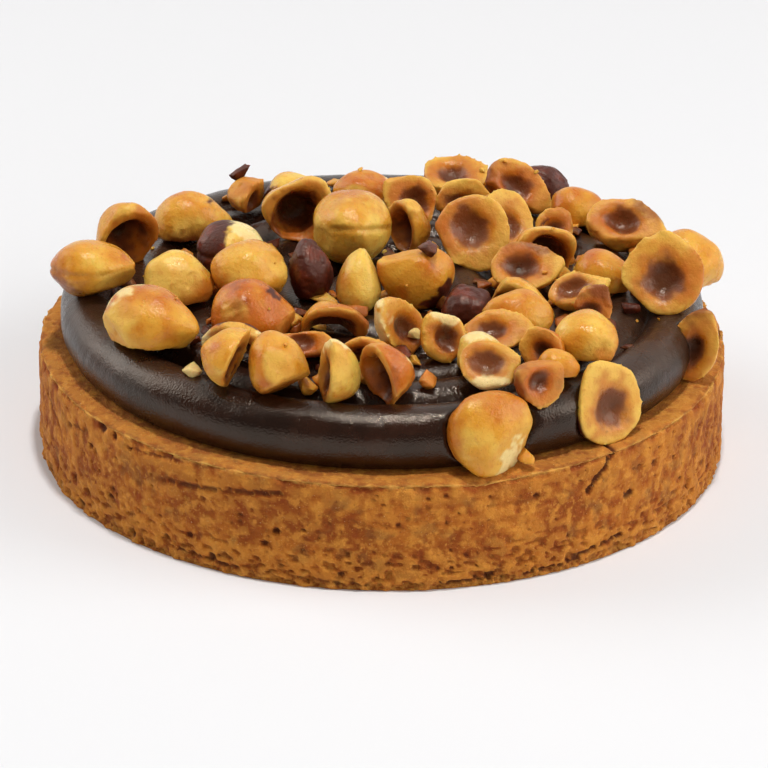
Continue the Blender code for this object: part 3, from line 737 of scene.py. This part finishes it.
def hollow_depth(reach, kind, size):
    """The bowl's depth in millimetres: steep near the edge and dished in the middle."""
    depth = HOLLOWS[kind][1] * size[2]
    soft = 0.25 if kind in ("half", "wedge") else 0.35
    return depth * (1 - soft_step(reach, soft, 1.02)) + 0.06 * depth * (1 - soft_step(reach, 0.6, 1.5))


def knock_corners(mesh, planes, kind, seed):
    """Knock a few corners off, mostly around the edge of the split face, and note where."""
    draw = random.Random(seed)
    count, keep = CHIPS[kind]
    form = bmesh.new()
    form.from_mesh(mesh)
    for _ in range(count):
        clock = draw.uniform(0, 2 * math.pi)
        normal = Vector((math.cos(clock), math.sin(clock), draw.uniform(-0.5, 0.9))).normalized()
        reach = max(vertex.co.dot(normal) for vertex in form.verts)
        offset = reach * draw.uniform(keep, 0.96)
        planes.append((normal, offset))
        slice_off(form, normal * offset, normal)
    form.to_mesh(mesh)
    form.free()
    return remeshed(mesh, CELL)


def kernel_mesh(name, piece, seed):
    """One piece in its own frame: +X to the tip, +Z out of the split face."""
    kind = name.split("_")[0]
    form = bmesh.new()
    bmesh.ops.create_icosphere(form, subdivisions=BALL_LEVEL, radius=1)
    ball = np.array([vertex.co for vertex in form.verts])
    for vertex, point in zip(form.verts, kernel_points(piece.size, seed, ball)):
        vertex.co = point
    planes = []
    if kind != "kernel":
        level = 0 if kind in HOLLOWS else ROUNDED_SHARE * piece.size[2]
        planes.append((Vector((0, 0, 1)), level))
        slice_off(form, (0, 0, level), (0, 0, 1))
    mesh = bpy.data.meshes.new(name + "_whole")
    form.to_mesh(mesh)
    form.free()
    if kind in HOLLOWS:
        mesh = remeshed(mesh, CELL)
        points = read_points(mesh)
        on_face = points[:, 2] > -0.25
        reach = hollow_reach(points, kind, piece.size, seed)
        points[:, 2] -= np.where(on_face, hollow_depth(reach, kind, piece.size), 0)
        write_points(mesh, points)
    if piece.cuts:
        form = bmesh.new()
        form.from_mesh(mesh)
        for cut in piece.cuts:
            normal, offset = cut_plane(cut, piece.spin, piece.size[0])
            planes.append((normal, offset))
            slice_off(form, normal * offset, normal)
        form.to_mesh(mesh)
        form.free()
    return knock_corners(remeshed(mesh, CELL), planes, kind, seed), planes, kind


# %% [markdown]
# Where the knife went through, the flesh is crumbly and pale.  The outside keeps shallow ridges that
# run from tip to base, and a whole nut shows the seam between its halves.  The masks written here
# tell the material which part of a piece is which.

# %% Roughen a piece and mark its parts
def seam_depth(points, size):
    """A shallow groove around a whole kernel, between its two halves."""
    return 0.34 * np.exp(-(points[:, 2] / 0.45) ** 2) * soft_step(np.abs(points[:, 0]), -1, 0.2 * size[0])


def finish_nut(mesh, planes, kind, piece, seed):
    """Add the rough detail in place and return the masks that the material reads."""
    smoothed(mesh, 4)
    points = read_points(mesh)
    normals = read_normals(mesh)
    near_cut = np.zeros(len(points))
    across = np.hypot(points[:, 0] / (0.5 * piece.size[0]), points[:, 1] / (0.5 * piece.size[1]))
    for normal, offset in planes:
        away = offset - points @ np.array(normal)
        near_cut = np.maximum(near_cut, 1 - soft_step(away, 0.12, 0.60))
    reach = np.full(len(points), 9.0)
    inside = np.zeros(len(points))
    if kind in HOLLOWS:
        reach = hollow_reach(points, kind, piece.size, seed)
        floor = -hollow_depth(reach, kind, piece.size)
        inside = (np.abs(points[:, 2] - floor) < 0.75) * (1 - soft_step(reach, 0.92, 1.08))
    broken = np.maximum(near_cut, inside)
    crumble = 0.10 * rough(points, 1.9, seed + 0.3) + 0.06 * rough(points, 0.8, seed + 0.6)
    flakes = 0.16 * np.round(1.5 * rough(points, 3.2, seed + 0.9)) * (kind in ("wedge", "arch", "bowl", "dome"))
    ring = np.arctan2(points[:, 2], points[:, 1])
    ridge_place = np.stack((2.2 * ring, 0.16 * points[:, 0], 0 * ring + seed), axis=-1)
    ridges = 0.09 * rough(ridge_place, 1.0, 0.2) + 0.07 * rough(points, 3.4, seed)
    if kind == "kernel":
        ridges = ridges - seam_depth(points, piece.size)
    if kind == "skin":
        ridges = ridges + 0.22 * np.round(1.8 * rough(points, 3.0, seed)) + 0.05 * rough(points, 0.8, seed)
    relief = broken * (crumble + flakes * (1 - inside)) + (1 - broken) * ridges
    relief = relief * np.where(inside > 0.4, 0.5, 1)
    write_points(mesh, points + normals * (relief - 0.06)[:, None])
    stain = reach * (1 + 0.40 * rough(points, 3.4, seed + 0.2) + 0.22 * rough(points, 1.3, seed + 0.4))
    on_face = np.maximum(near_cut * (kind in HOLLOWS) * (points[:, 2] > -1.2), inside)
    spots = soft_step(rough(points, 1.5, seed + 0.7), 0.30, 0.60)
    return {
        "broken": near_cut * (1 - inside),
        "hollow": on_face * (1 - soft_step(stain, 0.62, 0.95)),
        # deep: the brown lining of the hollow with painted shade, darkest in its middle
        "deep": inside * piece.inside * (1 - soft_step(stain, 0.30, 0.80)) + 0.35 * inside * spots * piece.inside,
        "band": on_face * (1 - soft_step(stain, 0.95, 1.45)),
        "rim": near_cut * soft_step(across + 0.12 * rough(points, 2.0, seed), 0.78, 0.95) * (1 - inside),
        "roast": np.full(len(points), piece.roast) + 0.36 * rough(points, 4.5, seed) + 0.14 * rough(points, 1.6, seed),
        "seam": np.exp(-(points[:, 2] / 0.7) ** 2) * (kind == "kernel"),
    }


def nut_turn(look, spin):
    """The rotation that turns the split face to look that way, with its tip at the clock angle."""
    azimuth, elevation = math.radians(look[0]), math.radians(look[1])
    face = Vector((
        math.sin(azimuth) * math.cos(elevation), -math.cos(azimuth) * math.cos(elevation), math.sin(elevation)
    ))
    rise = Vector((
        -math.sin(azimuth) * math.sin(elevation), math.cos(azimuth) * math.sin(elevation), math.cos(elevation)
    ))
    side = Vector((math.cos(azimuth), math.sin(azimuth), 0))
    clock = math.radians(spin)
    tip = rise * math.cos(clock) + side * math.sin(clock)
    return Matrix((tip, face.cross(tip), face)).transposed()


# %% [markdown]
# A mark is a patch on one side of a piece, such as a scrap of dark skin on its left.  Its edge is
# ragged, because skin flakes off and roasting is uneven.

# %% Marks on one side of a piece
VIEW_RISE = math.radians(25)
MARK_KINDS = ("skin", "brown", "cream", "orange")


def mark_masks(points, marks, seed):
    """One mask for each kind of mark, from directions seen from the front."""
    half = 0.5 * (points.max(0) - points.min(0))
    middle = 0.5 * (points.max(0) + points.min(0))
    away = (points - middle) / half
    away /= np.maximum(np.linalg.norm(away, axis=1), 0.2)[:, None]
    masks = {kind: np.zeros(len(points)) for kind in MARK_KINDS}
    if not marks:
        return masks
    edge = 0.26 * rough(points, 2.4, seed) + 0.16 * rough(points, 0.9, seed)
    for kind, (right, up, near), reach in marks:
        towards = np.array((
            right,
            up * math.sin(VIEW_RISE) - near * math.cos(VIEW_RISE),
            up * math.cos(VIEW_RISE) + near * math.sin(VIEW_RISE),
        ))
        sharp = 0.06 if kind in ("skin", "cream") else 0.30
        mask = soft_step(away @ towards + edge, reach - sharp, reach + sharp)
        masks[kind] = np.maximum(masks[kind], mask)
    return masks


# %% [markdown]
# ### The hazelnut's finish
# Roasted flesh runs from cream through gold to orange-brown.  The split face is palest near its rim,
# turns orange around the hollow and mauve-brown in it.  The middle of a hollow is painted dark
# brown: its brown lining, with painted shade where little light gets in.  The skin is a dark
# red-brown with a slight shine.  All of it is one material, steered by the masks, so that the
# colours run into each other.

# %% Hazelnut
CREAM, PALE_GOLD, GOLD = tint(240, 216, 150), tint(232, 190, 84), tint(216, 150, 46)
ORANGE, DEEP_ORANGE, TAN = tint(190, 100, 24), tint(120, 50, 14), tint(210, 150, 64)
MAUVE_BROWN, SHADED_HOLLOW_BROWN, SKIN_BROWN = tint(122, 62, 34), tint(40, 16, 8), tint(70, 22, 10)


def make_nut_finish():
    sheet = Sheet("hazelnut")
    patchy = sheet.grain(3.2, 3, 0.1)
    freckle = sheet.grain(0.8, 3, 0.2)
    fine = sheet.grain(0.35, 2, 0.3)
    roast = sheet.mask("roast") + (patchy - 0.5) * 0.5
    colour = sheet.blend(sheet.between(roast, 0.0, 0.45), PALE_GOLD, GOLD)
    colour = sheet.blend(sheet.between(roast, 0.40, 0.85), colour, ORANGE)
    colour = sheet.blend(sheet.between(roast, 0.80, 1.15), colour, DEEP_ORANGE)
    colour = sheet.blend(sheet.mask("broken") * 0.40, colour, TAN)
    colour = sheet.blend(sheet.mask("rim") * 0.55, colour, PALE_GOLD)
    speckle = sheet.between(freckle, 0.55, 0.72) * 0.35
    colour = sheet.blend(speckle, colour, ORANGE)
    colour = sheet.blend(sheet.mask("seam") * 0.30, colour, DEEP_ORANGE)
    colour = sheet.blend(sheet.mask("orange") * 0.75, colour, ORANGE)
    colour = sheet.blend(sheet.mask("brown") * 0.85, colour, DEEP_ORANGE)
    colour = sheet.blend(sheet.mask("band") * 0.70, colour, tint(186, 98, 28))
    colour = sheet.blend(sheet.mask("cream") * 0.85, colour, CREAM)
    colour = sheet.blend(sheet.mask("hollow") * 0.90, colour, MAUVE_BROWN)
    # the brown lining of the hollow with painted shade, darkest in its middle
    colour = sheet.blend(sheet.mask("deep") * 0.92, colour, SHADED_HOLLOW_BROWN)
    skin_colour = sheet.blend(sheet.between(patchy, 0.48, 0.70) * 0.8, SKIN_BROWN, tint(116, 44, 22))
    colour = sheet.blend(sheet.mask("skin"), colour, skin_colour)
    colour = sheet.blend(sheet.between(1 - fine, 0.62, 0.75) * 0.30, colour, DEEP_ORANGE)
    gloss = sheet.between(patchy, 0.4, 0.65) * 0.14
    roughness = 0.36 - gloss + sheet.mask("broken") * 0.18 + sheet.mask("skin") * 0.10
    height = freckle * 0.7 + fine * 0.3
    return sheet.finish(
        colour, roughness, sheet.bump(height, 0.20), Subsurface_Weight=0.15, Subsurface_Scale=0.002, IOR=1.45,
        Specular_IOR_Level=0.50, Specular_Tint=(1.0, 0.90, 0.76, 1.0),
    )


nut_finish = make_nut_finish()

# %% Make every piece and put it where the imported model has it
FULLNESS = 1.06
NESTLE = 0.35 * MM
nut_trees = {}
total = 0
for name, piece in NUTS.items():
    seed = int(name.split("_")[1])
    mesh, planes, kind = kernel_mesh(name, piece, seed)
    masks = finish_nut(mesh, planes, kind, piece, seed)
    turned = read_points(mesh) @ np.array(nut_turn(piece.look, piece.spin)).T
    masks.update(mark_masks(turned, piece.marks, seed))
    if kind in HOLLOWS:
        masks["skin"] = masks["skin"] * (1 - np.maximum(masks["broken"], masks["hollow"] > 0.05))
    low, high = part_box(name)
    middle = 0.5 * (turned.max(0) + turned.min(0)) * MM
    centre = np.array((low + high) / 2) - np.array((0, 0, NESTLE))
    write_points(mesh, centre + FULLNESS * (turned * MM - middle))
    add_masks(mesh, masks)
    add_piece("nut_" + name, mesh, nut_finish, "nut_" + kind, [name])
    nut_trees[name] = tree_of(mesh)
    total += 2 * len(mesh.polygons)
print("nut pieces:", total, "triangles")

# %% [markdown]
# ## Back to the ganache
# Three nuts lean against the outer rope, and the soft rope gives way.  A ray from the axis finds the
# back of such a nut, and the rope ends just before it.

# %% Press the leaning nuts in
LEANING = ("half_55", "kernel_56", "half_57")
TOUCH = 0.12
limit = np.full(radius_grid.shape, 1e3)
outer_rows = np.where(radius_grid.mean(1) > OUTER_ROPE - 8)[0]
for name in LEANING:
    low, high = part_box(name)
    middle = (low + high) / 2
    facing = math.atan2(middle.y, middle.x)
    near = np.where(np.abs(turns - facing) < math.radians(12))[0]
    for row in outer_rows:
        for step in near:
            height = height_grid[row, step] * MM
            direction = Vector((math.cos(turns[step]), math.sin(turns[step]), 0))
            start = direction * (OUTER_ROPE - 14) * MM + Vector((0, 0, height))
            hit = nut_trees[name].ray_cast(start, direction)
            if hit[0] is not None:
                limit[row, step] = min(limit[row, step], hit[0].xy.length / MM - TOUCH)
pressed = np.maximum(radius_grid - limit, 0)
for _ in range(3):
    pressed = 0.5 * pressed + 0.25 * np.roll(pressed, 1, axis=1) + 0.25 * np.roll(pressed, -1, axis=1)
radius_grid = np.where(limit < 1e3, np.minimum(radius_grid, limit), radius_grid - 0.5 * pressed)
points = np.stack((radius_grid * np.cos(turn_grid), radius_grid * np.sin(turn_grid), height_grid), axis=-1) * MM
ganache_mesh = grid_mesh("ganache_rope", points)
add_masks(ganache_mesh, {
    "dragged": grid_mask(dragged * rope_skin),
    # the top of the rope, where a painted sheen goes
    "top_sheen": grid_mask(soft_step(height_grid, 25.5, 29.5)),
})
print("ganache mesh:", 2 * len(ganache_mesh.polygons), "triangles")
print("pressed in by up to", round(float(pressed.max()), 1), "mm")

# %% [markdown]
# ### The ganache's finish
# Dark ganache is nearly black-brown with a soft gloss.  The gloss is uneven: wet where it was
# smeared, satin where it wrinkled, with pinprick bubbles that break the lights up.  On top of the
# dragged rope the brown is painted paler and greyer: a painted sheen, with the paler matte skin of
# dragged ganache.

# %% Ganache
def make_ganache_finish():
    sheet = Sheet("ganache")
    cloud = sheet.grain(11, 3, 0.1)
    film = sheet.grain(2.4, 3, 0.2)
    prick = sheet.grain(0.4, 2, 0.3)
    colour = sheet.blend(sheet.between(cloud, 0.35, 0.65), tint(26, 12, 7), tint(44, 22, 13))
    colour = sheet.blend(sheet.between(film, 0.52, 0.70) * 0.35, colour, tint(56, 31, 20))
    # painted sheen on top of the dragged rope, with the paler matte skin of dragged ganache
    colour = sheet.blend(sheet.mask("dragged") * sheet.mask("top_sheen") * 0.45, colour, tint(84, 56, 38))
    wet = sheet.between(cloud, 0.40, 0.60)
    roughness = 0.21 - wet * 0.08 + sheet.mask("dragged") * 0.18 + sheet.between(film, 0.5, 0.7) * 0.05
    height = film * 0.3 + prick * 0.6
    return sheet.finish(
        colour, roughness, sheet.bump(height, 0.18), Subsurface_Weight=0.03, Subsurface_Scale=0.001, IOR=1.5,
        Specular_Tint=(1.0, 0.84, 0.68, 1.0),
    )


ganache_finish = make_ganache_finish()
ganache = add_piece("ganache_looks", ganache_mesh, ganache_finish, "ganache", ["ganache"])

# %% [markdown]
# ## Small bits
# Chopping also leaves chips, flakes of skin and crumbs.  Each one is a rough little lump.  Gold chips and
# fillers are dropped onto the ganache, so that they tuck in between the nuts.  The rest are dropped onto
# whatever lies under them.  All bits of one kind are joined into one piece.

# %% Drop a bit onto the tart
SOFT_TREES = [tree_of(ganache_mesh), tree_of(shell_mesh)]
STATIC_TREES = SOFT_TREES + list(nut_trees.values())
DROP_FROM = 0.08


def landing(x, y, trees=STATIC_TREES):
    """The highest surface under a place given in millimetres, in metres."""
    start = Vector((x * MM, y * MM, DROP_FROM))
    heights = [0.0]
    for tree in trees:
        hit = tree.ray_cast(start, Vector((0, 0, -1)))
        if hit[0] is not None:
            heights.append(hit[0].z)
    return max(heights)


def chip_mesh(form, place, size, draw, trees=STATIC_TREES, lift=0.32):
    """One chipped lump of this size (length, width, height) in mm, added to the form."""
    bit = bmesh.new()
    for _ in range(11):
        spot = Vector([draw.gauss(0, 1) for _ in range(3)]).normalized() * draw.uniform(0.85, 1.05)
        bit.verts.new(spot)
    hull = bmesh.ops.convex_hull(bit, input=bit.verts[:])
    loose = [item for item in hull["geom_interior"] if isinstance(item, bmesh.types.BMVert)]
    bmesh.ops.delete(bit, geom=loose, context="VERTS")
    bmesh.ops.subdivide_edges(bit, edges=bit.edges[:], cuts=3, use_grid_fill=True, smooth=0.05)
    turn = Matrix.Rotation(draw.uniform(0, 6.28), 3, "Z") @ Matrix.Rotation(draw.uniform(-0.5, 0.5), 3, "X")
    base = landing(*place, trees)
    for vertex in bit.verts:
        spot = vertex.co
        spot *= 1 + 0.12 * noise.noise(spot * 2.3 + Vector((place[0], place[1], 0)))
        spot = Vector((spot.x * size[0] / 2, spot.y * size[1] / 2, spot.z * size[2] / 2))
        vertex.co = (turn @ spot) * MM + Vector((place[0] * MM, place[1] * MM, base + lift * size[2] * MM))
    piece = bpy.data.meshes.new("bit")
    bit.to_mesh(piece)
    bit.free()
    form.from_mesh(piece)
    count = len(piece.vertices)
    bpy.data.meshes.remove(piece)
    return count


def add_bits(name, bits, slot, values, seed, trees=STATIC_TREES):
    """Join the chips of one kind into one piece.  values are the numbers of its masks."""
    draw = random.Random(seed)
    form = bmesh.new()
    own = []
    for place, size in bits:
        count = chip_mesh(form, place, size, draw, trees)
        own += [draw.uniform(-0.3, 0.3)] * count
    mesh = bpy.data.meshes.new(name)
    form.to_mesh(mesh)
    form.free()
    points = read_points(mesh) / MM
    masks = {key: np.zeros(len(points)) for key in MARK_KINDS}
    for key, value in values.items():
        masks[key] = np.full(len(points), value) + 0.30 * rough(points, 2.0, seed)
        if key in ("roast", "brown"):
            masks[key] += np.array(own)
    add_masks(mesh, masks)
    print(name, "has", len(bits), "chips and", len(mesh.polygons), "faces")
    return add_piece(name, mesh, nut_finish, slot)


# %% Chips, skins and crumbs
GOLD_CHIPS = [
    ((-34.7, 9.6), (5, 3.6, 3)), ((-11, 1.5), (5.2, 4, 3)), ((7.9, -42.5), (4.4, 3.6, 3.4)),
    ((36, 12.7), (5.4, 4.2, 3)), ((29.7, 23.6), (4.6, 3.8, 3)), ((45, 15), (6, 4.2, 3.4)),
    ((23.7, -51.2), (5.6, 3.8, 3.6)), ((-0.8, 29.0), (5.4, 3.6, 3)), ((7, 41), (7, 5, 4)),
    ((36.6, 31.0), (5.8, 4.2, 3.2)), ((-29, 26), (6, 4, 3)), ((-38, 22), (5, 3.6, 3)),
    ((18, 47), (5.4, 4, 3)), ((-8, 44), (6, 4, 3.4)), ((-20, 12), (5, 4, 3)), ((45, 26), (4.6, 3.6, 3)),
    ((-28, 40), (4.4, 3.4, 2.8)), ((32, 1.5), (4.4, 3.2, 2.6)),
]
CREAM_CHIPS = [
    ((3, -41), (9, 4.8, 2.6)), ((-31.5, -38.5), (6.5, 4, 3)), ((20.4, -37.2), (3.6, 1.6, 1.4)),
    ((5.4, -26.5), (3.4, 2.6, 2.2)), ((-16, 45), (4.5, 2.6, 3)), ((13, 24), (4, 3, 2)),
]
SKIN_CHIPS = [
    ((-38, 1), (5, 3.6, 2)), ((7.6, -9.0), (6, 3.6, 2.6)), ((-25.8, 33.5), (4.6, 2.6, 4.6)),
    ((-15.8, 43), (3, 1.6, 4.4)), ((28.6, -24), (4, 3, 1.8)), ((41.5, -24), (3.6, 2.6, 1.6)),
    ((-31, -3), (4, 3, 1.8)), ((-2, 2), (4.4, 3, 2)), ((10, 3), (4, 3, 2)), ((22, 8), (3.6, 3, 2)),
    ((-9, 26), (4, 3, 2)), ((34, 24), (3.4, 2.6, 1.8)), ((-30, -20), (3, 2, 1.4)), ((16, -5), (3.4, 2.6, 1.8)),
]
add_bits("gold_chips", GOLD_CHIPS, "nut_wedge", {"roast": 0.5, "broken": 0.6}, 21, SOFT_TREES)
add_bits("cream_chips", CREAM_CHIPS, "nut_half", {"roast": 0.1, "cream": 0.75, "broken": 0.5}, 22)
add_bits("skin_chips", SKIN_CHIPS, "nut_skin", {"roast": 0.9, "skin": 1.0}, 23)

FILLERS = 420
draw = random.Random(11)
fillers = {"gold_fillers": [], "tan_fillers": [], "skin_fillers": []}
for _ in range(FILLERS):
    reach, turn = 47 * math.sqrt(draw.random()), draw.uniform(-math.pi, math.pi)
    place = (reach * math.cos(turn), reach * math.sin(turn) + 2)
    long = draw.uniform(2.8, 6.6)
    size = (long, long * draw.uniform(0.5, 0.8), long * draw.uniform(0.35, 0.6))
    kind = draw.choice(("gold_fillers", "gold_fillers", "tan_fillers", "tan_fillers", "skin_fillers"))
    on_nut = landing(*place, list(nut_trees.values())) > 0
    crowd = sum(
        landing(place[0] + side, place[1] + rise, list(nut_trees.values())) > 0
        for side, rise in ((3, 0), (-3, 0), (0, 3), (0, -3))
    )
    if not on_nut and crowd >= 1 and draw.random() < 0.30 + 0.25 * crowd:
        fillers[kind].append((place, size))
add_bits("gold_fillers", fillers["gold_fillers"], "nut_wedge", {"roast": 0.35, "broken": 0.6}, 31, SOFT_TREES)
add_bits("tan_fillers", fillers["tan_fillers"], "nut_wedge", {"roast": 0.8, "broken": 0.3, "brown": 0.2}, 32, SOFT_TREES)
add_bits("skin_fillers", fillers["skin_fillers"], "nut_skin", {"roast": 0.9, "skin": 0.9}, 33, SOFT_TREES)

CRUMBS = 70
draw = random.Random(5)
crumbs = []
for _ in range(CRUMBS):
    reach, turn = 50 * math.sqrt(draw.random()), draw.uniform(-math.pi, math.pi)
    grain = draw.uniform(0.5, 1.5)
    crumbs.append(((reach * math.cos(turn), reach * math.sin(turn)), (grain, 0.8 * grain, 0.7 * grain)))
add_bits("nut_crumbs", crumbs, "nut_wedge", {"roast": 0.4, "broken": 0.6}, 24)

# %% [markdown]
# ## Floor, light and camera
# The tart stands on a plain pale floor in soft studio light.  Two wide lights stand to the left and
# right, and a small one overhead gives the ganache its bright lines.  A wide one at the front only fills
# the shadows: it isn't mirrored in gloss.  Far from the tart the floor turns into the plain backdrop,
# but only for the camera, so the fade puts no light on the tart.

# %% Floor
def add_floor():
    mesh = bpy.data.meshes.new("floor")
    reach = 1.15
    corners = [(-reach, -reach, 0), (reach, -reach, 0), (reach, reach, 0), (-reach, reach, 0)]
    mesh.from_pydata(corners, [], [(0, 1, 2, 3)])
    floor = bpy.data.objects.new("floor", mesh)
    bpy.context.scene.collection.objects.link(floor)
    sheet = Sheet("white_floor")
    cloud = sheet.grain(900, 2)
    colour = sheet.blend(cloud, FLOOR_COLOUR, tuple(0.99 * value for value in FLOOR_COLOUR))
    mesh.materials.append(sheet.finish(colour, 0.9, Specular_IOR_Level=0.1))
    away = sheet.add("ShaderNodeVectorMath", {"operation": "LENGTH"}, sheet.place(), out="Value")
    seen = sheet.add("ShaderNodeLightPath", {}, out="Is Camera Ray")
    glow = sheet.add("ShaderNodeEmission", {}, (BACKDROP, BACKDROP, BACKDROP, 1), 1.0)
    near = Wire(sheet, sheet.shader.outputs[0])
    both = sheet.add("ShaderNodeMixShader", {}, sheet.between(away, 0.25, 0.75) * seen, near, glow)
    sheet.join(sheet.nodes["Material Output"].inputs["Surface"], both)


def add_light(name, place, size, power, aim=(0, 0, 0.02)):
    lamp = bpy.data.lights.new(name, "AREA")
    lamp.shape = "RECTANGLE"
    lamp.size, lamp.size_y = size
    lamp.energy = power
    light = bpy.data.objects.new(name, lamp)
    bpy.context.scene.collection.objects.link(light)
    light.location = place
    light.rotation_euler = (Vector(aim) - Vector(place)).to_track_quat("-Z", "Y").to_euler()
    return light


FLOOR_COLOUR = (0.80, 0.795, 0.80)
BACKDROP = 0.94
WORLD_LIGHT = 0.20
add_floor()
add_light("left_window", (-1.1, 0.35, 0.75), (1.0, 0.9), 8)
add_light("right_window", (1.15, -0.15, 0.65), (0.9, 0.9), 8.5)
add_light("overhead", (0.04, -0.10, 1.1), (0.09, 0.045), 6.5)
front_fill = add_light("front_fill", (0.7, -1.4, 0.7), (1.8, 1.2), 7)
front_fill.visible_glossy = False

# %% [markdown]
# Glossy things show the room around them.  Here the room is white behind the tart and darker towards
# the front, as with a white sheet hung behind a table, and the lamps alone do most of the lighting.

# %% World
def light_world():
    world = bpy.data.worlds.new("studio")
    bpy.context.scene.world = world
    sheet = Sheet("studio", world)
    way = sheet.add("ShaderNodeTexCoord", {}, out="Generated")
    back = sheet.add("ShaderNodeSeparateXYZ", {}, way, out="Y")
    sheen = sheet.add("ShaderNodeMapRange", {}, back, -0.1, 0.5, 0.15, 1.0)
    seen = sheet.add("ShaderNodeLightPath", {}, out="Is Camera Ray")
    mirrored = sheet.add("ShaderNodeLightPath", {}, out="Is Glossy Ray")
    background = sheet.nodes["Background"]
    background.inputs["Color"].default_value = (1, 1, 1, 1)
    sheet.join(background.inputs["Strength"], (
        WORLD_LIGHT + seen * (BACKDROP - WORLD_LIGHT) + mirrored * (sheen - WORLD_LIGHT)
    ))


light_world()
bpy.context.scene.view_settings.view_transform = "Standard"

# %% [markdown]
# The camera is a long lens a metre away that looks down by a quarter of a right angle or so, which
# shows both the wall and the heap.

# %% Camera
LOOK_DOWN = math.radians(25.42)
SENSOR_WIDTH, LENS = 36, 266.72
camera_data = bpy.data.cameras.new("camera")
camera_data.sensor_width = SENSOR_WIDTH
camera_data.lens = LENS
camera_data.shift_x = 0.0044
camera_data.shift_y = 0.0706
camera_data.clip_start = 0.01
camera = bpy.data.objects.new("camera", camera_data)
bpy.context.scene.collection.objects.link(camera)
camera.matrix_world = (
    Matrix.Translation((0, -math.cos(LOOK_DOWN), math.sin(LOOK_DOWN)))
    @ Matrix.Rotation(math.radians(90) - LOOK_DOWN, 4, "X")
    @ Matrix.Rotation(math.radians(0.87), 4, "Z")
)
bpy.context.scene.camera = camera

# %% Update the scene
bpy.context.view_layer.update()
